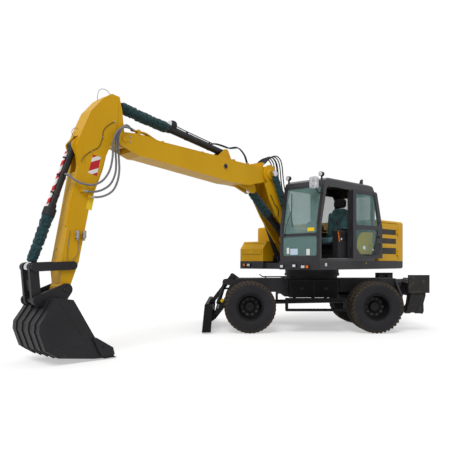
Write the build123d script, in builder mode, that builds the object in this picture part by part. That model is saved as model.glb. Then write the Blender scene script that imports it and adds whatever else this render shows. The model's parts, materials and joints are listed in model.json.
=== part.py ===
"""Wheeled excavator with a two-piece boom, a dozer blade and two stabilisers.

The frame is that of the upper structure: +X forward along the boom, +Y to the cab
side, +Z up, with the origin on the ground under the slewing axis. Millimetres.
The undercarriage stands turned by SWING below it, as it does when the boom reaches
over the machine's front left corner.
"""
from build123d import *
import math
import os

# Driving dimensions of the undercarriage, in its own frame: +X to the blade, +Y left
SWING = 45.0
TYRE_R = 525.0
TYRE_W = 278.0
TWIN_PITCH = 330.0
TRACK_OUTER = 2500.0
FRONT_AXLE_X = 1420.0
REAR_AXLE_X = -1130.0
RIM_R = 262.0
STUD_CIRCLE_R = 167.5
STUD_R = 11.0
STUD_COUNT = 10
HUB_R = 112.0
AXLE_R = 95.0
DIFF_R = 205.0
KINGPIN_Y = 590.0
KINGPIN_R = 32.0
HUB_FACE = 628.0
CHASSIS_HALF = 340.0
CHASSIS_TOP = 1085.0
CHASSIS_LOW = 790.0
SLEW_R = 560.0
SLEW_TOP = 1190.0
SLEW_GAP = 5.0
LOCKER_IN = 600.0
TOW_EYE = (1905.0, 850.0)
TOW_R = 26.0
TOW_HALF = 18.0
TOW_OUT_R = 55.0
STEP_OUT = 1245.0
STEP_IN = 1010.0
STEP_X = (-530.0, 700.0)
STEP_Z = (470.0, 690.0)
RUNNING_GAP = 0.3

# Dozer blade: its lower arm and upper link are parallel, (x, z) in the boom-less frame
BLADE_WIDTH = 2500.0
ARM_FOOT = (1740.0, 800.0)
ARM_REACH = (420.0, -540.0)
LINK_FOOT = (1770.0, 1135.0)
BLADE_CYL_FOOT = (1935.0, 1000.0)
BLADE_LOW = 25.0
BLADE_PIN_R = 24.0

# Stabilisers: (y, z) places on the left one
LEG_X = (-2110.0, -1810.0)
LEG_PIVOT = (800.0, 455.0)
LEG_EYE = (1050.0, 930.0)
LEG_CYL_FOOT = (240.0, 985.0)
LEG_BUSH_R = 50.0
CARRIER_X = (-2180.0, -1740.0)

# Upper structure
HALF_WIDTH = 1250.0
DECK_LOW = 1290.0
DECK_TOP = 1460.0
DECK_FRONT = 1000.0
TAIL_R = 2190.0
CHANNEL = (-560.0, 265.0)
HOOD_TOP = 2360.0
HOOD_X = (-1540.0, -700.0)
HOOD_HINGE = (-682.0, 2330.0)
HINGE_PIN_R = 10.0
SIDE_HINGE = (-1548.0, 1270.0)
SIDE_HINGE_Z = (1640.0, 2120.0)
LID_HINGE = (456.0, 1868.0)
LID_HINGE_Y = (-1100.0, -700.0)

# Cab
CAB_Y = (285.0, 1245.0)
CAB_X = (-560.0, 1450.0)
CAB_FLOOR = 1500.0
CAB_ROOF = 3070.0
WALL = 40.0
SCREEN_KNEE = 2150.0
ROOF_EDGE_R = 60.0
PANE_R = 45.0
SIDE_PANE = [(-470, 2080), (-470, 2800), (-400, 2890), (180, 2890), (180, 2080)]
FAR_PANE = [(440, 1980), (440, 2890), (1180, 2890), (1380, 2180), (1380, 1980)]
SCREEN = ((1000, 1600), (CAB_Y[0] + 70, CAB_Y[1] - 70), (1995, 2900))
LOWER_SCREEN = ((1300, 1600), (CAB_Y[0] + 70, CAB_Y[1] - 70), (1560, 1945))
REAR_PANE = ((-700, -450), (CAB_Y[0] + 90, CAB_Y[1] - 90), (2160, 2850))
HATCH = ((100, 900), (CAB_Y[0] + 190, CAB_Y[1] - 190))
DOOR_X = (440.0, 1390.0)
ROOF_LAMP_Y = (350.0, 1150.0)
DOOR_PANES = [
    [(540, 2190), (540, 2830), (1120, 2830), (1265, 2190)],
    [(540, 1740), (540, 2110), (1240, 2110), (1190, 1860), (1080, 1600), (670, 1600)],
]
DOOR_AJAR = 8.0
DOOR_T = 45.0
DOOR_GAP = 6.0
DOOR_STRIKE_GAP = 8.0
DOOR_HINGE_Y = 1256.0
DOOR_HINGE_Z = (1720.0, 2560.0)
DOOR_HINGE_R = 6.0

# Working arm, (x, z) of its pins in the plane y = BOOM_Y
BOOM_Y = -145.0
BOOM_FOOT = (260.0, 1810.0)
BOOM_KNEE = (1516.0, 3215.0)
LIFT_FOOT = (610.0, 1535.0)
LIFT_Y = 330.0
ADJUST_FOOT = (740.0, 1930.0)
ADJUST_EYE = (1885.0, 2890.0)
ARM_CYL_FOOT = (2640.0, 3512.0)
ARM_CYL_EYE = (5065.0, 3950.0)
STICK_PIN = (4985.0, 3370.0)
BUCKET_CYL_FOOT = (5770.0, 3175.0)
BUCKET_PIN = (5975.0, 1042.0)
IDLER_PIN = (5862.0, 1389.0)
LINK_TOP = (6443.0, 1369.0)
LINK_LOW = (6402.0, 899.0)
BOOM_HALF = 190.0
BASE_PLATE = (205.0, 235.0)
FOOT_PLATE = (245.0, 275.0)
STICK_HALF = 150.0
EAR_PLATE = (162.0, 200.0)
IDLER_PLATE = (160.0, 190.0)
LINK_PLATE = (85.0, 145.0)
ADJUST_LUG = (88.0, 116.0)
ARM_LUG = (76.0, 104.0)
BUCKET_LUG = (74.0, 100.0)
BUCKET_HALF = 420.0
BUCKET_RIB = [
    (6227, 92), (6426, 217), (6519, 478), (6509, 598), (6396, 756), (6290, 926), (6262, 905),
    (6374, 738), (6484, 589), (6494, 483), (6404, 232), (6212, 112),
]
PIN_R = 42.0
# Pipes on the upper boom's left top edge and the hoses that go on from them
PIPE_Y = (-24.0, 4.0, 32.0)
PIPE_R = 12.0
PIPE_ROUTE = [(2480, 3366), (2965, 3386), (4332, 3447), (4460, 3498), (4560, 3540), (4810, 3548)]
HOSE_R = 11.0
CHEEK_T = 8.0
STICK_PIPE_Y = (-60.0, -25.0)
STICK_PIPES = [
    [(5822, 2560), (5850, 2430), (5897, 2190), (5940, 1960)],
    [(5822, 2560), (5850, 2430), (5897, 2190), (5940, 1960)],
]
STICK_CHEEK = [
    (5075, 3960), (5180, 3985), (5310, 3880), (5500, 3660), (5630, 3390), (5690, 3190), (5640, 2890),
    (5680, 2640), (5560, 2500), (5440, 2680), (5330, 3000), (5190, 3300), (5120, 3480), (5080, 3700),
]
PIPE_END = 4800.0
STICK_PORTS = [(5700, 34, 2500), (5580, 34, 2415)]
BARREL_PORT = (5938, -60, 2725)
STICK_HOSES = [
    [(4790, 32, 3548), (4900, 60, 3560), (5040, 100, 3540), (5175, 125, 3440), (5245, 130, 3270),
     (5258, 130, 3040), (5310, 128, 2830), (5420, 115, 2670), (5570, 100, 2590), (5710, 80, 2590),
     (5840, 60, 2630), (5925, 20, 2700), (5938, -72, 2725)],
    [(4790, 4, 3548), (4890, 40, 3572), (5010, 85, 3560), (5115, 108, 3475), (5175, 110, 3340),
     (5190, 108, 3150), (5178, 106, 2960), (5195, 102, 2790), (5275, 95, 2630), (5410, 72, 2530),
     (5560, 48, 2490), (5712, 34, 2500)],
    [(4790, -24, 3548), (4870, 10, 3592), (4970, 60, 3592), (5060, 82, 3520), (5118, 86, 3400),
     (5128, 86, 3230), (5115, 86, 3040), (5108, 86, 2860), (5140, 85, 2690), (5215, 80, 2545),
     (5330, 65, 2460), (5460, 48, 2420), (5592, 34, 2415)],
]
# Hoses from the upper boom's rear end down behind the base boom, in its (x, z) plane
MANIFOLD_X = 1640.0
CLAMP_TOP = 2120.0
REAR_HOSE_Y = (-125.0, -75.0, -25.0, 25.0, 75.0, 125.0)
REAR_HOSE_ROUTE = [
    (1652, 3405), (1560, 3440), (1450, 3530), (1320, 3600), (1190, 3610), (1085, 3535), (1035, 3390),
    (1010, 3200), (965, 2990), (890, 2770), (795, 2560), (725, 2380), (665, 2240), (640, 2108),
]

os.makedirs("parts", exist_ok=True)


def plate(points, y_low, y_high):
    """A flat plate between two y values, from the (x, z) corners of its outline."""
    with BuildPart() as p:
        with BuildSketch(Plane.XZ.offset(-y_high)):
            with BuildLine():
                Polyline(*points, close=True)
            make_face()
        extrude(amount=y_high - y_low)
    return p.part


def rounded_plate(points, y_low, y_high, r):
    """A flat plate like plate(), with its corners rounded in the (x, z) outline."""
    with BuildPart() as p:
        with BuildSketch(Plane.XZ.offset(-y_high)) as face:
            with BuildLine():
                Polyline(*points, close=True)
            make_face()
            fillet(face.vertices(), r)
        extrude(amount=y_high - y_low)
    return p.part


def window(x, y, z, r):
    """A block through a front or rear wall whose outline is rounded, seen along X."""
    with BuildPart() as p:
        with BuildSketch(Plane.YZ.offset(x[0])):
            with Locations(((y[0] + y[1]) / 2, (z[0] + z[1]) / 2)):
                RectangleRounded(y[1] - y[0], z[1] - z[0], r)
        extrude(amount=x[1] - x[0])
    return p.part


def hose_run(points, r):
    """A hose of straight runs joined by arcs as large as the runs allow."""
    radii = []
    for a, b, c in zip(points, points[1:], points[2:]):
        first, second = Vector(b) - Vector(a), Vector(c) - Vector(b)
        turn = math.radians(first.get_angle(second))
        radii.append(0.45 * min(first.length, second.length) / math.tan(turn / 2))
    with BuildPart() as p:
        with BuildLine() as path:
            FilletPolyline(*points, radius=radii)
        with BuildSketch(Plane(origin=path.line @ 0, z_dir=path.line % 0)):
            Circle(r)
        sweep()
    return p.part


def link(rounds, y_low, y_high):
    """A plate drawn tight round circles, each given as (x, z, radius)."""
    with BuildPart() as p:
        with BuildSketch(Plane.XZ.offset(-y_high)):
            for x, z, r in rounds:
                with Locations((x, z)):
                    Circle(r)
            make_hull()
        extrude(amount=y_high - y_low)
    return p.part


def disc(place, r, y_low, y_high):
    """A round boss or pin along Y at an (x, z) place."""
    with BuildPart() as p:
        with BuildSketch(Plane.XZ.offset(-y_high)):
            with Locations(place):
                Circle(r)
        extrude(amount=y_high - y_low)
    return p.part


def block(x, y, z):
    """A box from (low, high) pairs."""
    with BuildPart() as p:
        with BuildSketch(Plane.XY.offset(z[0])):
            with Locations(((x[0] + x[1]) / 2, (y[0] + y[1]) / 2)):
                Rectangle(x[1] - x[0], y[1] - y[0])
        extrude(amount=z[1] - z[0])
    return p.part


def slab(points, z_low, z_high):
    """A flat piece between two heights, from the (x, y) corners of its outline."""
    with BuildPart() as p:
        with BuildSketch(Plane.XY.offset(z_low)):
            with BuildLine():
                Polyline(*points, close=True)
            make_face()
        extrude(amount=z_high - z_low)
    return p.part


def tube_between(start, end, r, bore=0.0):
    """A round bar or tube between two points."""
    axis = Vector(end) - Vector(start)
    with BuildPart() as p:
        with BuildSketch(Plane(origin=start, z_dir=axis)):
            Circle(r)
            if bore:
                Circle(bore, mode=Mode.SUBTRACT)
        extrude(amount=axis.length)
    return p.part


def ram(base, eye, pin_dir, r_barrel, r_rod, widths, pin_r, gland, bottom, closing):
    """The barrel and the rod of a hydraulic cylinder, from its base pin to its rod's pin.

    Its rod can close by the given travel before it meets the barrel's end.
    """
    start = Vector(base)
    axis = (Vector(eye) - start).normalized()
    length = (Vector(eye) - start).length
    lay = Plane(origin=start, x_dir=axis, z_dir=pin_dir)
    foot_width, eye_width = widths
    foot = Plane(origin=start - Vector(pin_dir) * (foot_width / 2), x_dir=axis, z_dir=pin_dir)
    head = Plane(origin=start - Vector(pin_dir) * (eye_width / 2), x_dir=axis, z_dir=pin_dir)
    eye_r = pin_r * 1.75
    bore = r_rod + RUNNING_GAP
    inner = bottom + closing + 12
    with BuildPart() as barrel:
        with BuildSketch(lay):
            with BuildLine():
                Polyline(
                    (eye_r * 0.7, 0), (eye_r * 0.7, r_barrel), (gland - 90, r_barrel),
                    (gland - 90, r_barrel + 10), (gland, r_barrel + 10), (gland, bore),
                    (bottom, bore), (bottom, 0), close=True,
                )
            make_face()
        revolve(axis=Axis(start, axis))
        with BuildSketch(foot):
            Circle(eye_r)
        extrude(amount=foot_width)
        with BuildSketch(foot):
            Circle(pin_r + RUNNING_GAP)
        extrude(amount=foot_width, mode=Mode.SUBTRACT)
    with BuildPart() as rod:
        with BuildSketch(lay):
            with BuildLine():
                Polyline(
                    (inner, 0), (inner, r_rod), (length - eye_r * 0.7, r_rod),
                    (length - eye_r * 0.7, 0), close=True,
                )
            make_face()
        revolve(axis=Axis(start, axis))
        with BuildSketch(head):
            with Locations((length, 0)):
                Circle(eye_r)
        extrude(amount=eye_width)
    return barrel.part, rod.part


def joined(*pieces, cut=()):
    """One piece out of several that are welded together, less what is cut away."""
    with BuildPart() as p:
        for piece in pieces:
            add(piece)
        for piece in cut:
            add(piece, mode=Mode.SUBTRACT)
    return p.part


def both_sides(piece):
    """A piece and its mirror image across the machine's length."""
    with BuildPart() as p:
        add(piece)
        mirror(about=Plane.XZ)
    return p.part


def in_boom_plane(y_low, y_high):
    """Two y values counted from the boom's middle plane."""
    return BOOM_Y + y_low, BOOM_Y + y_high


def each_side(make, y_pair):
    """The same plate on both sides of the boom's middle plane."""
    near = make(*in_boom_plane(y_pair[0], y_pair[1]))
    far = make(*in_boom_plane(-y_pair[1], -y_pair[0]))
    return [near, far]


def save(part, name):
    """Writes one sub-part under its own name."""
    part.label = name
    export_step(part, f"parts/{name}.step")


def save_turned(part, name):
    """Writes a piece of the undercarriage, turned as it stands under the upper structure."""
    save(part.rotate(Axis.Z, -SWING), name)


def at(place, r):
    """An (x, z, radius) row from a place."""
    return place[0], place[1], r


def shifted(place, by):
    """A place moved by (x, z)."""
    return place[0] + by[0], place[1] + by[1]


# Chassis
def tow_plate():
    """The flat eye in the machine's nose, for an upright pin."""
    with BuildPart() as p:
        with BuildSketch(Plane.XY.offset(TOW_EYE[1] - TOW_HALF)):
            with BuildLine():
                Polyline((1700, -110), (1850, -110), (TOW_EYE[0], -TOW_OUT_R), (TOW_EYE[0], TOW_OUT_R),
                         (1850, 110), (1700, 110), close=True)
            make_face()
            with Locations((TOW_EYE[0], 0)):
                Circle(TOW_OUT_R)
        extrude(amount=2 * TOW_HALF)
    return p.part


def make_chassis():
    beam = plate(
        [
            (-1740, CHASSIS_TOP), (1690, CHASSIS_TOP), (1725, CHASSIS_TOP - 40), (1850, 880),
            (1850, 830), (1660, CHASSIS_LOW), (760, CHASSIS_LOW), (640, 690), (-400, 690),
            (-520, CHASSIS_LOW), (-1740, CHASSIS_LOW),
        ],
        -CHASSIS_HALF, CHASSIS_HALF,
    )
    half = CHASSIS_HALF
    wide = slab(
        [(620, half), (400, LOCKER_IN), (-380, LOCKER_IN), (-560, half), (-560, -half),
         (-380, -LOCKER_IN), (400, -LOCKER_IN), (620, -half)], CHASSIS_TOP - 220, CHASSIS_TOP,
    )
    drum = tube_between((0, 0, CHASSIS_TOP), (0, 0, 1140), SLEW_R)
    tow = tow_plate()
    low, high = (TOW_EYE[0], 0, TOW_EYE[1] - TOW_HALF), (TOW_EYE[0], 0, TOW_EYE[1] + TOW_HALF)
    tow_hole = tube_between(low, high, TOW_R)
    ring = tube_between((0, 0, 1140), (0, 0, SLEW_TOP), SLEW_R + 45, SLEW_R - 60)
    lugs = []
    for side in (1, -1):
        for low, high, place, r in (
            (405, 430, ARM_FOOT, 62),
            (156, 181, BLADE_CYL_FOOT, 55), (279, 304, BLADE_CYL_FOOT, 55),
            (70, 92, LINK_FOOT, 55),
        ):
            ends = sorted((side * low, side * high))
            back = (place[0] - 150, min(place[1], CHASSIS_TOP - 80), 70)
            lugs.append(link([at(place, r), back], *ends))
        hanger = block((ARM_FOOT[0] - 260, ARM_FOOT[0] - 110), sorted((side * 330, side * 430)),
                       (CHASSIS_TOP - 200, CHASSIS_TOP - 80))
        lugs.append(hanger)
        lugs.append(disc(ARM_FOOT, BLADE_PIN_R, *sorted((side * 330, side * 430))))
        lugs.append(disc(BLADE_CYL_FOOT, BLADE_PIN_R, *sorted((side * 156, side * 304))))
    lugs.append(disc(LINK_FOOT, BLADE_PIN_R, -150, 150))
    pads = []
    for x in (FRONT_AXLE_X, REAR_AXLE_X):
        for side in (1, -1):
            y = sorted((side * 230, side * 330))
            pads.append(block((x - 120, x + 120), y, (TYRE_R + AXLE_R + 30, CHASSIS_LOW + 20)))
    frame = joined(beam, wide, drum, ring, *lugs, *pads)
    return joined(frame, tow, cut=[tow_hole])


# Axles
def axle_beam(x, half):
    profile = [
        (0, 0), (0, DIFF_R), (110, DIFF_R - 20), (190, AXLE_R + 20), (230, AXLE_R),
        (half, AXLE_R), (half, 0),
    ]
    with BuildPart() as beam:
        with BuildSketch(Plane(origin=(x, 0, TYRE_R), x_dir=(0, 1, 0), z_dir=(1, 0, 0))):
            with BuildLine():
                Polyline(*profile, close=True)
            make_face()
        revolve(axis=Axis((x, 0, TYRE_R), (0, 1, 0)))
        mirror(about=Plane.XZ)
    seats = []
    for side in (1, -1):
        y = sorted((side * 225, side * 335))
        seats.append(block((x - 120, x + 120), y, (TYRE_R, TYRE_R + AXLE_R + 30)))
    return joined(beam.part, *seats)


def make_front_axle():
    beam = axle_beam(FRONT_AXLE_X, KINGPIN_Y - 75)
    yokes = []
    for side in (1, -1):
        for z in ((TYRE_R + 105, TYRE_R + 145), (TYRE_R - 145, TYRE_R - 105)):
            yokes.append(
                block((FRONT_AXLE_X - 60, FRONT_AXLE_X + 60),
                      sorted((side * (KINGPIN_Y - 110), side * (KINGPIN_Y + 32))), z)
            )
        yokes.append(
            block((FRONT_AXLE_X - 60, FRONT_AXLE_X + 60),
                  sorted((side * (KINGPIN_Y - 110), side * (KINGPIN_Y - 75))),
                  (TYRE_R - 145, TYRE_R + 145))
        )
        for low, high in ((TYRE_R + 82, TYRE_R + 155), (TYRE_R - 155, TYRE_R - 82)):
            start = (FRONT_AXLE_X, side * KINGPIN_Y, low)
            end = (FRONT_AXLE_X, side * KINGPIN_Y, high)
            yokes.append(tube_between(start, end, KINGPIN_R))
    shaft = tube_between((-780, 0, TYRE_R + 60), (FRONT_AXLE_X - 130, 0, TYRE_R + 20), 48)
    return joined(beam, shaft, *yokes)


def make_rear_axle():
    beam = axle_beam(REAR_AXLE_X, HUB_FACE)
    box = block((-1010, -790), (-170, 170), (TYRE_R - 190, TYRE_R + 240))
    motor = tube_between((-790, 115, TYRE_R + 165), (-560, 115, TYRE_R + 165), 85)
    return joined(beam, box, motor)


def make_knuckle(side):
    """The steered hub carrier between the kingpins and the wheel."""
    centre = (FRONT_AXLE_X, side * KINGPIN_Y, TYRE_R)
    end = (FRONT_AXLE_X, side * HUB_FACE, TYRE_R)
    low, high = (FRONT_AXLE_X, side * KINGPIN_Y, TYRE_R - 98), (FRONT_AXLE_X, side * KINGPIN_Y, TYRE_R + 98)
    body = joined(tube_between(centre, end, 96), tube_between(low, high, 66))
    cut = []
    for z in (TYRE_R + 60, TYRE_R - 100):
        start = (FRONT_AXLE_X, side * KINGPIN_Y, z)
        cut.append(tube_between(start, (start[0], start[1], z + 40), KINGPIN_R + RUNNING_GAP))
    arm = block((FRONT_AXLE_X - 260, FRONT_AXLE_X - 40), sorted((side * 574, side * 606)),
                (TYRE_R - 30, TYRE_R + 10))
    cut.append(block((FRONT_AXLE_X - 100, FRONT_AXLE_X + 100),
                     sorted((side * HUB_FACE, side * (HUB_FACE + 60))), (TYRE_R - 120, TYRE_R + 120)))
    return joined(body, arm, cut=cut)


# Wheels
def wheel_plane(x, y):
    return Plane(origin=(x, y, TYRE_R), x_dir=(0, 1, 0), z_dir=(1, 0, 0))


def make_tyres(x, side):
    outer = side * (TRACK_OUTER / 2 - TYRE_W / 2)
    half = TYRE_W / 2
    profile = [
        (-half * 0.62, RIM_R), (-half * 0.97, RIM_R + 70), (-half, RIM_R + 130),
        (-half * 0.86, TYRE_R - 45), (-half * 0.72, TYRE_R - 12), (0, TYRE_R),
        (half * 0.72, TYRE_R - 12), (half * 0.86, TYRE_R - 45), (half, RIM_R + 130),
        (half * 0.97, RIM_R + 70), (half * 0.62, RIM_R),
    ]
    with BuildPart() as p:
        for y in (outer, outer - side * TWIN_PITCH):
            with BuildSketch(wheel_plane(x, y)):
                with BuildLine():
                    Polyline(*profile, close=True)
                make_face()
            revolve(axis=Axis((x, y, TYRE_R), (0, 1, 0)))
    return p.part


def make_wheel(x, side):
    """Both rims of a twin wheel on their hub, the outer one dished deep."""
    outer = TRACK_OUTER / 2 - TYRE_W / 2
    inner = outer - TWIN_PITCH
    middle = (outer + inner) / 2
    half = TYRE_W * 0.62 / 2
    seat = RIM_R - RUNNING_GAP
    profile = [
        (inner - half, seat - 22), (inner - half, seat), (inner + half, seat),
        (inner + half, seat - 30), (outer - half, seat - 30), (outer - half, seat),
        (outer + half + 20, seat), (outer + half + 20, seat - 18), (outer - half + 20, seat - 48),
        (middle + 25, 190), (middle + 25, HUB_R), (middle + 95, HUB_R - 15),
        (middle + 105, HUB_R - 50), (middle + 105, 0), (HUB_FACE + 0.5, 0),
        (HUB_FACE + 0.5, 105), (middle - 60, 118),
        (middle - 25, 190), (inner + half - 20, seat - 52), (inner - half, seat - 22),
    ]
    points = [(side * y, r) for y, r in profile[:-1]]
    with BuildPart() as p:
        with BuildSketch(wheel_plane(x, 0)):
            with BuildLine():
                Polyline(*points, close=True)
            make_face()
        revolve(axis=Axis((x, 0, TYRE_R), (0, 1, 0)))
        face = Plane(origin=(x, side * (middle + 20), TYRE_R), x_dir=(1, 0, 0), z_dir=(0, side, 0))
        with BuildSketch(face):
            with PolarLocations(STUD_CIRCLE_R, STUD_COUNT):
                Circle(STUD_R * 1.7)
        extrude(amount=30)
    return p.part


# Steps and side boxes
def make_side_steps():
    """The locker beside the frame and the two-tread step under it, for the left side."""
    x0, x1 = STEP_X
    locker = block((-400, 600), (LOCKER_IN, 960), (710, CHASSIS_TOP - 5))
    rails = []
    for z in STEP_Z:
        rails.append(block((x0, x1), (STEP_IN, STEP_OUT), (z - 18, z + 18)))
    uprights = []
    for x in (x0, x1 - 40):
        uprights.append(block((x, x + 40), (STEP_IN, STEP_OUT), (STEP_Z[0], STEP_Z[1])))
    hangers = []
    for x in (-300, 100, 480):
        hangers.append(block((x, x + 50), (900, STEP_IN + 30), (STEP_Z[1] - 15, 740)))
    return both_sides(joined(locker, *rails, *uprights, *hangers))


# Dozer blade
def make_blade_arms():
    pin = shifted(ARM_FOOT, ARM_REACH)
    pieces = []
    for side in (1, -1):
        y = sorted((side * 346, side * 399))
        arm = link([at(ARM_FOOT, 55), at(pin, 48)], *y)
        pieces.append(joined(arm, cut=[disc(ARM_FOOT, BLADE_PIN_R + RUNNING_GAP, *y)]))
    spot = (ARM_FOOT[0] + ARM_REACH[0] * 0.45, ARM_FOOT[1] + ARM_REACH[1] * 0.45)
    tie = disc(spot, 40, -350, 350)
    pins = both_sides(disc(pin, BLADE_PIN_R, 318, 426))
    return joined(*pieces, tie, pins)


def make_blade_links():
    pin = shifted(LINK_FOOT, ARM_REACH)
    pieces = []
    for side in (1, -1):
        y = sorted((side * 99, side * 148))
        bar = link([at(LINK_FOOT, 46), at(pin, 42)], *y)
        pieces.append(joined(bar, cut=[disc(LINK_FOOT, BLADE_PIN_R + RUNNING_GAP, *y),
                                       disc(pin, BLADE_PIN_R + RUNNING_GAP, *y)]))
    return joined(*pieces)


def make_blade():
    half = BLADE_WIDTH / 2
    arm_pin = shifted(ARM_FOOT, ARM_REACH)
    link_pin = shifted(LINK_FOOT, ARM_REACH)
    curve = plate(
        [(2255, 600), (2330, 590), (2285, 440), (2285, 260), (2330, 110), (2392, BLADE_LOW),
         (2330, BLADE_LOW), (2240, 110), (2215, 300), (2225, 460)],
        -half + 20, half - 20,
    )
    ends = []
    for side in (1, -1):
        y = sorted((side * (half - 22), side * half))
        ends.append(plate([(2170, 570), (2335, 585), (2392, BLADE_LOW), (2210, BLADE_LOW + 5)], *y))
    brackets = []
    for side in (1, -1):
        for low, high, place, r, back in (
            (318, 340, arm_pin, 50, (2270, 200, 60)), (405, 426, arm_pin, 50, (2270, 200, 60)),
            (168, 190, arm_pin, 50, (2270, 300, 90)), (272, 294, arm_pin, 50, (2270, 300, 90)),
            (70, 92, link_pin, 46, (2280, 520, 60)),
        ):
            y = sorted((side * low, side * high))
            ear = link([at(place, r), back], *y)
            hole = disc(place, BLADE_PIN_R + RUNNING_GAP, *y)
            brackets.append(joined(ear, cut=[hole] if low > 300 else []))
        brackets.append(disc(link_pin, BLADE_PIN_R, *sorted((side * 70, side * 150))))
    return joined(curve, *ends, *brackets)


def make_blade_rams():
    pin = shifted(ARM_FOOT, ARM_REACH)
    barrels, rods = [], []
    for side in (1, -1):
        barrel, rod = ram(
            (BLADE_CYL_FOOT[0], side * 230, BLADE_CYL_FOOT[1]), (pin[0], side * 230, pin[1]),
            (0, 1, 0), 42, 26, (92, 70), BLADE_PIN_R, 500, 90, 178,
        )
        barrels.append(barrel)
        rods.append(rod)
    return joined(*barrels), joined(*rods)


# Stabilisers
def cross_plate(points, x_low, x_high):
    """A flat plate across the machine, from the (y, z) corners of its outline."""
    with BuildPart() as p:
        with BuildSketch(Plane.YZ.offset(x_low)):
            with BuildLine():
                Polyline(*points, close=True)
            make_face()
        extrude(amount=x_high - x_low)
    return p.part


def cross_disc(place, r, x_low, x_high):
    """A round boss or pin along X at a (y, z) place."""
    with BuildPart() as p:
        with BuildSketch(Plane.YZ.offset(x_low)):
            with Locations(place):
                Circle(r)
        extrude(amount=x_high - x_low)
    return p.part


def make_carrier():
    x0, x1 = CARRIER_X
    y, z = LEG_PIVOT
    shape = [
        (0, 1085), (330, 1085), (760, 760), (y + 75, z + 110), (y + 90, z - 30), (y + 30, z - 90),
        (y - 90, z - 90), (420, 690), (0, 690),
    ]
    pieces = []
    for low, high in ((x0, x0 + 35), (x1 - 35, x1)):
        pieces.append(both_sides(cross_plate(shape, low, high)))
    web = block((x0 + 30, x1 - 30), (-150, 150), (720, 1060))
    feet = both_sides(cross_disc(LEG_CYL_FOOT, 75, x0 + 30, x0 + 165))
    feet = joined(feet, both_sides(cross_disc(LEG_CYL_FOOT, 75, x1 - 165, x1 - 30)))
    pins = both_sides(joined(cross_disc(LEG_CYL_FOOT, 28, x0, x1), cross_disc(LEG_PIVOT, 34, x0, x1)))
    return joined(*pieces, web, feet, pins)


def make_leg(side):
    x0, x1 = LEG_X
    y, z = LEG_PIVOT
    eye_y, eye_z = LEG_EYE
    cheeks = []
    shape = [
        (y - 85, z + 40), (y - 60, z - 62), (y + 40, z - 84), (y + 120, z - 60), (1185, 760),
        (1185, 1130), (1120, 1130), (eye_y - 60, eye_z + 50), (eye_y - 65, eye_z - 60),
        (y + 60, z + 120),
    ]
    for low, high in ((x0, x0 + 95), (x1 - 95, x1)):
        cheeks.append(cross_plate(shape, low, high))
    outer = cross_plate([(y + 110, z - 60), (1185, 760), (1185, 1130), (1155, 1130), (1155, 775),
                         (y + 95, z - 20)], x0 + 90, x1 - 90)
    pad = block((x0 - 60, x1 + 60), (1185, 1238), (820, 1180))
    bushes = [cross_disc(LEG_PIVOT, LEG_BUSH_R, x0, x1)]
    leg = joined(*cheeks, outer, pad, *bushes,
                 cut=[cross_disc(LEG_PIVOT, 34 + RUNNING_GAP, x0 - 1, x1 + 1)])
    return leg if side > 0 else leg.mirror(Plane.XZ)


def make_leg_ram(side):
    x = (LEG_X[0] + LEG_X[1]) / 2
    barrel, rod = ram(
        (x, side * LEG_CYL_FOOT[0], LEG_CYL_FOOT[1]), (x, side * LEG_EYE[0], LEG_EYE[1]),
        (1, 0, 0), 50, 30, (84, 84), 28, 660, 90, 5,
    )
    return barrel, rod


# Upper structure
def tail_x(y):
    """How far back the round tail lies at a y value."""
    return -math.sqrt(TAIL_R ** 2 - y ** 2)


def tail_slab(x_front, z_low, z_high, y_low=-HALF_WIDTH, y_high=HALF_WIDTH):
    """A block with a straight front and the round tail behind."""
    with BuildPart() as p:
        with BuildSketch(Plane.XY.offset(z_low)):
            with BuildLine():
                Line((x_front, y_low), (x_front, y_high))
                Line((x_front, y_high), (tail_x(y_high), y_high))
                ThreePointArc((tail_x(y_high), y_high), (tail_x((y_low + y_high) / 2),
                              (y_low + y_high) / 2), (tail_x(y_low), y_low))
                Line((tail_x(y_low), y_low), (x_front, y_low))
            make_face()
        extrude(amount=z_high - z_low)
    return p.part


def make_platform():
    left, right = CHANNEL[1], CHANNEL[0]
    deck = slab(
        [(CAB_X[1], HALF_WIDTH), (CAB_X[1], left), (DECK_FRONT - 60, left),
         (DECK_FRONT - 60, right), (DECK_FRONT, right), (DECK_FRONT, -HALF_WIDTH),
         (HOOD_X[0], -HALF_WIDTH), (HOOD_X[0], HALF_WIDTH)],
        DECK_LOW, DECK_TOP - 40,
    )
    skirt_left = slab(
        [(CAB_X[1], HALF_WIDTH), (CAB_X[1], left), (HOOD_X[0], left), (HOOD_X[0], HALF_WIDTH)],
        DECK_TOP - 40, DECK_TOP,
    )
    skirt_right = slab(
        [(DECK_FRONT, right), (DECK_FRONT, -HALF_WIDTH), (HOOD_X[0], -HALF_WIDTH),
         (HOOD_X[0], right)],
        DECK_TOP - 40, DECK_TOP,
    )
    with BuildPart() as tail:
        add(tail_slab(HOOD_X[0] + 1, DECK_LOW, DECK_TOP))
        fillet(tail.faces().sort_by(Axis.Z)[0].edges().sort_by(Axis.X)[:-1], 45)
    ring = tube_between((0, 0, SLEW_TOP + SLEW_GAP), (0, 0, DECK_LOW + 10), SLEW_R + 30, SLEW_R - 90)
    spigot = tube_between((0, 0, SLEW_TOP - 40), (0, 0, DECK_LOW), SLEW_R - 60.5, SLEW_R - 90)
    return joined(deck, skirt_left, skirt_right, tail.part, ring, spigot)


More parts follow.
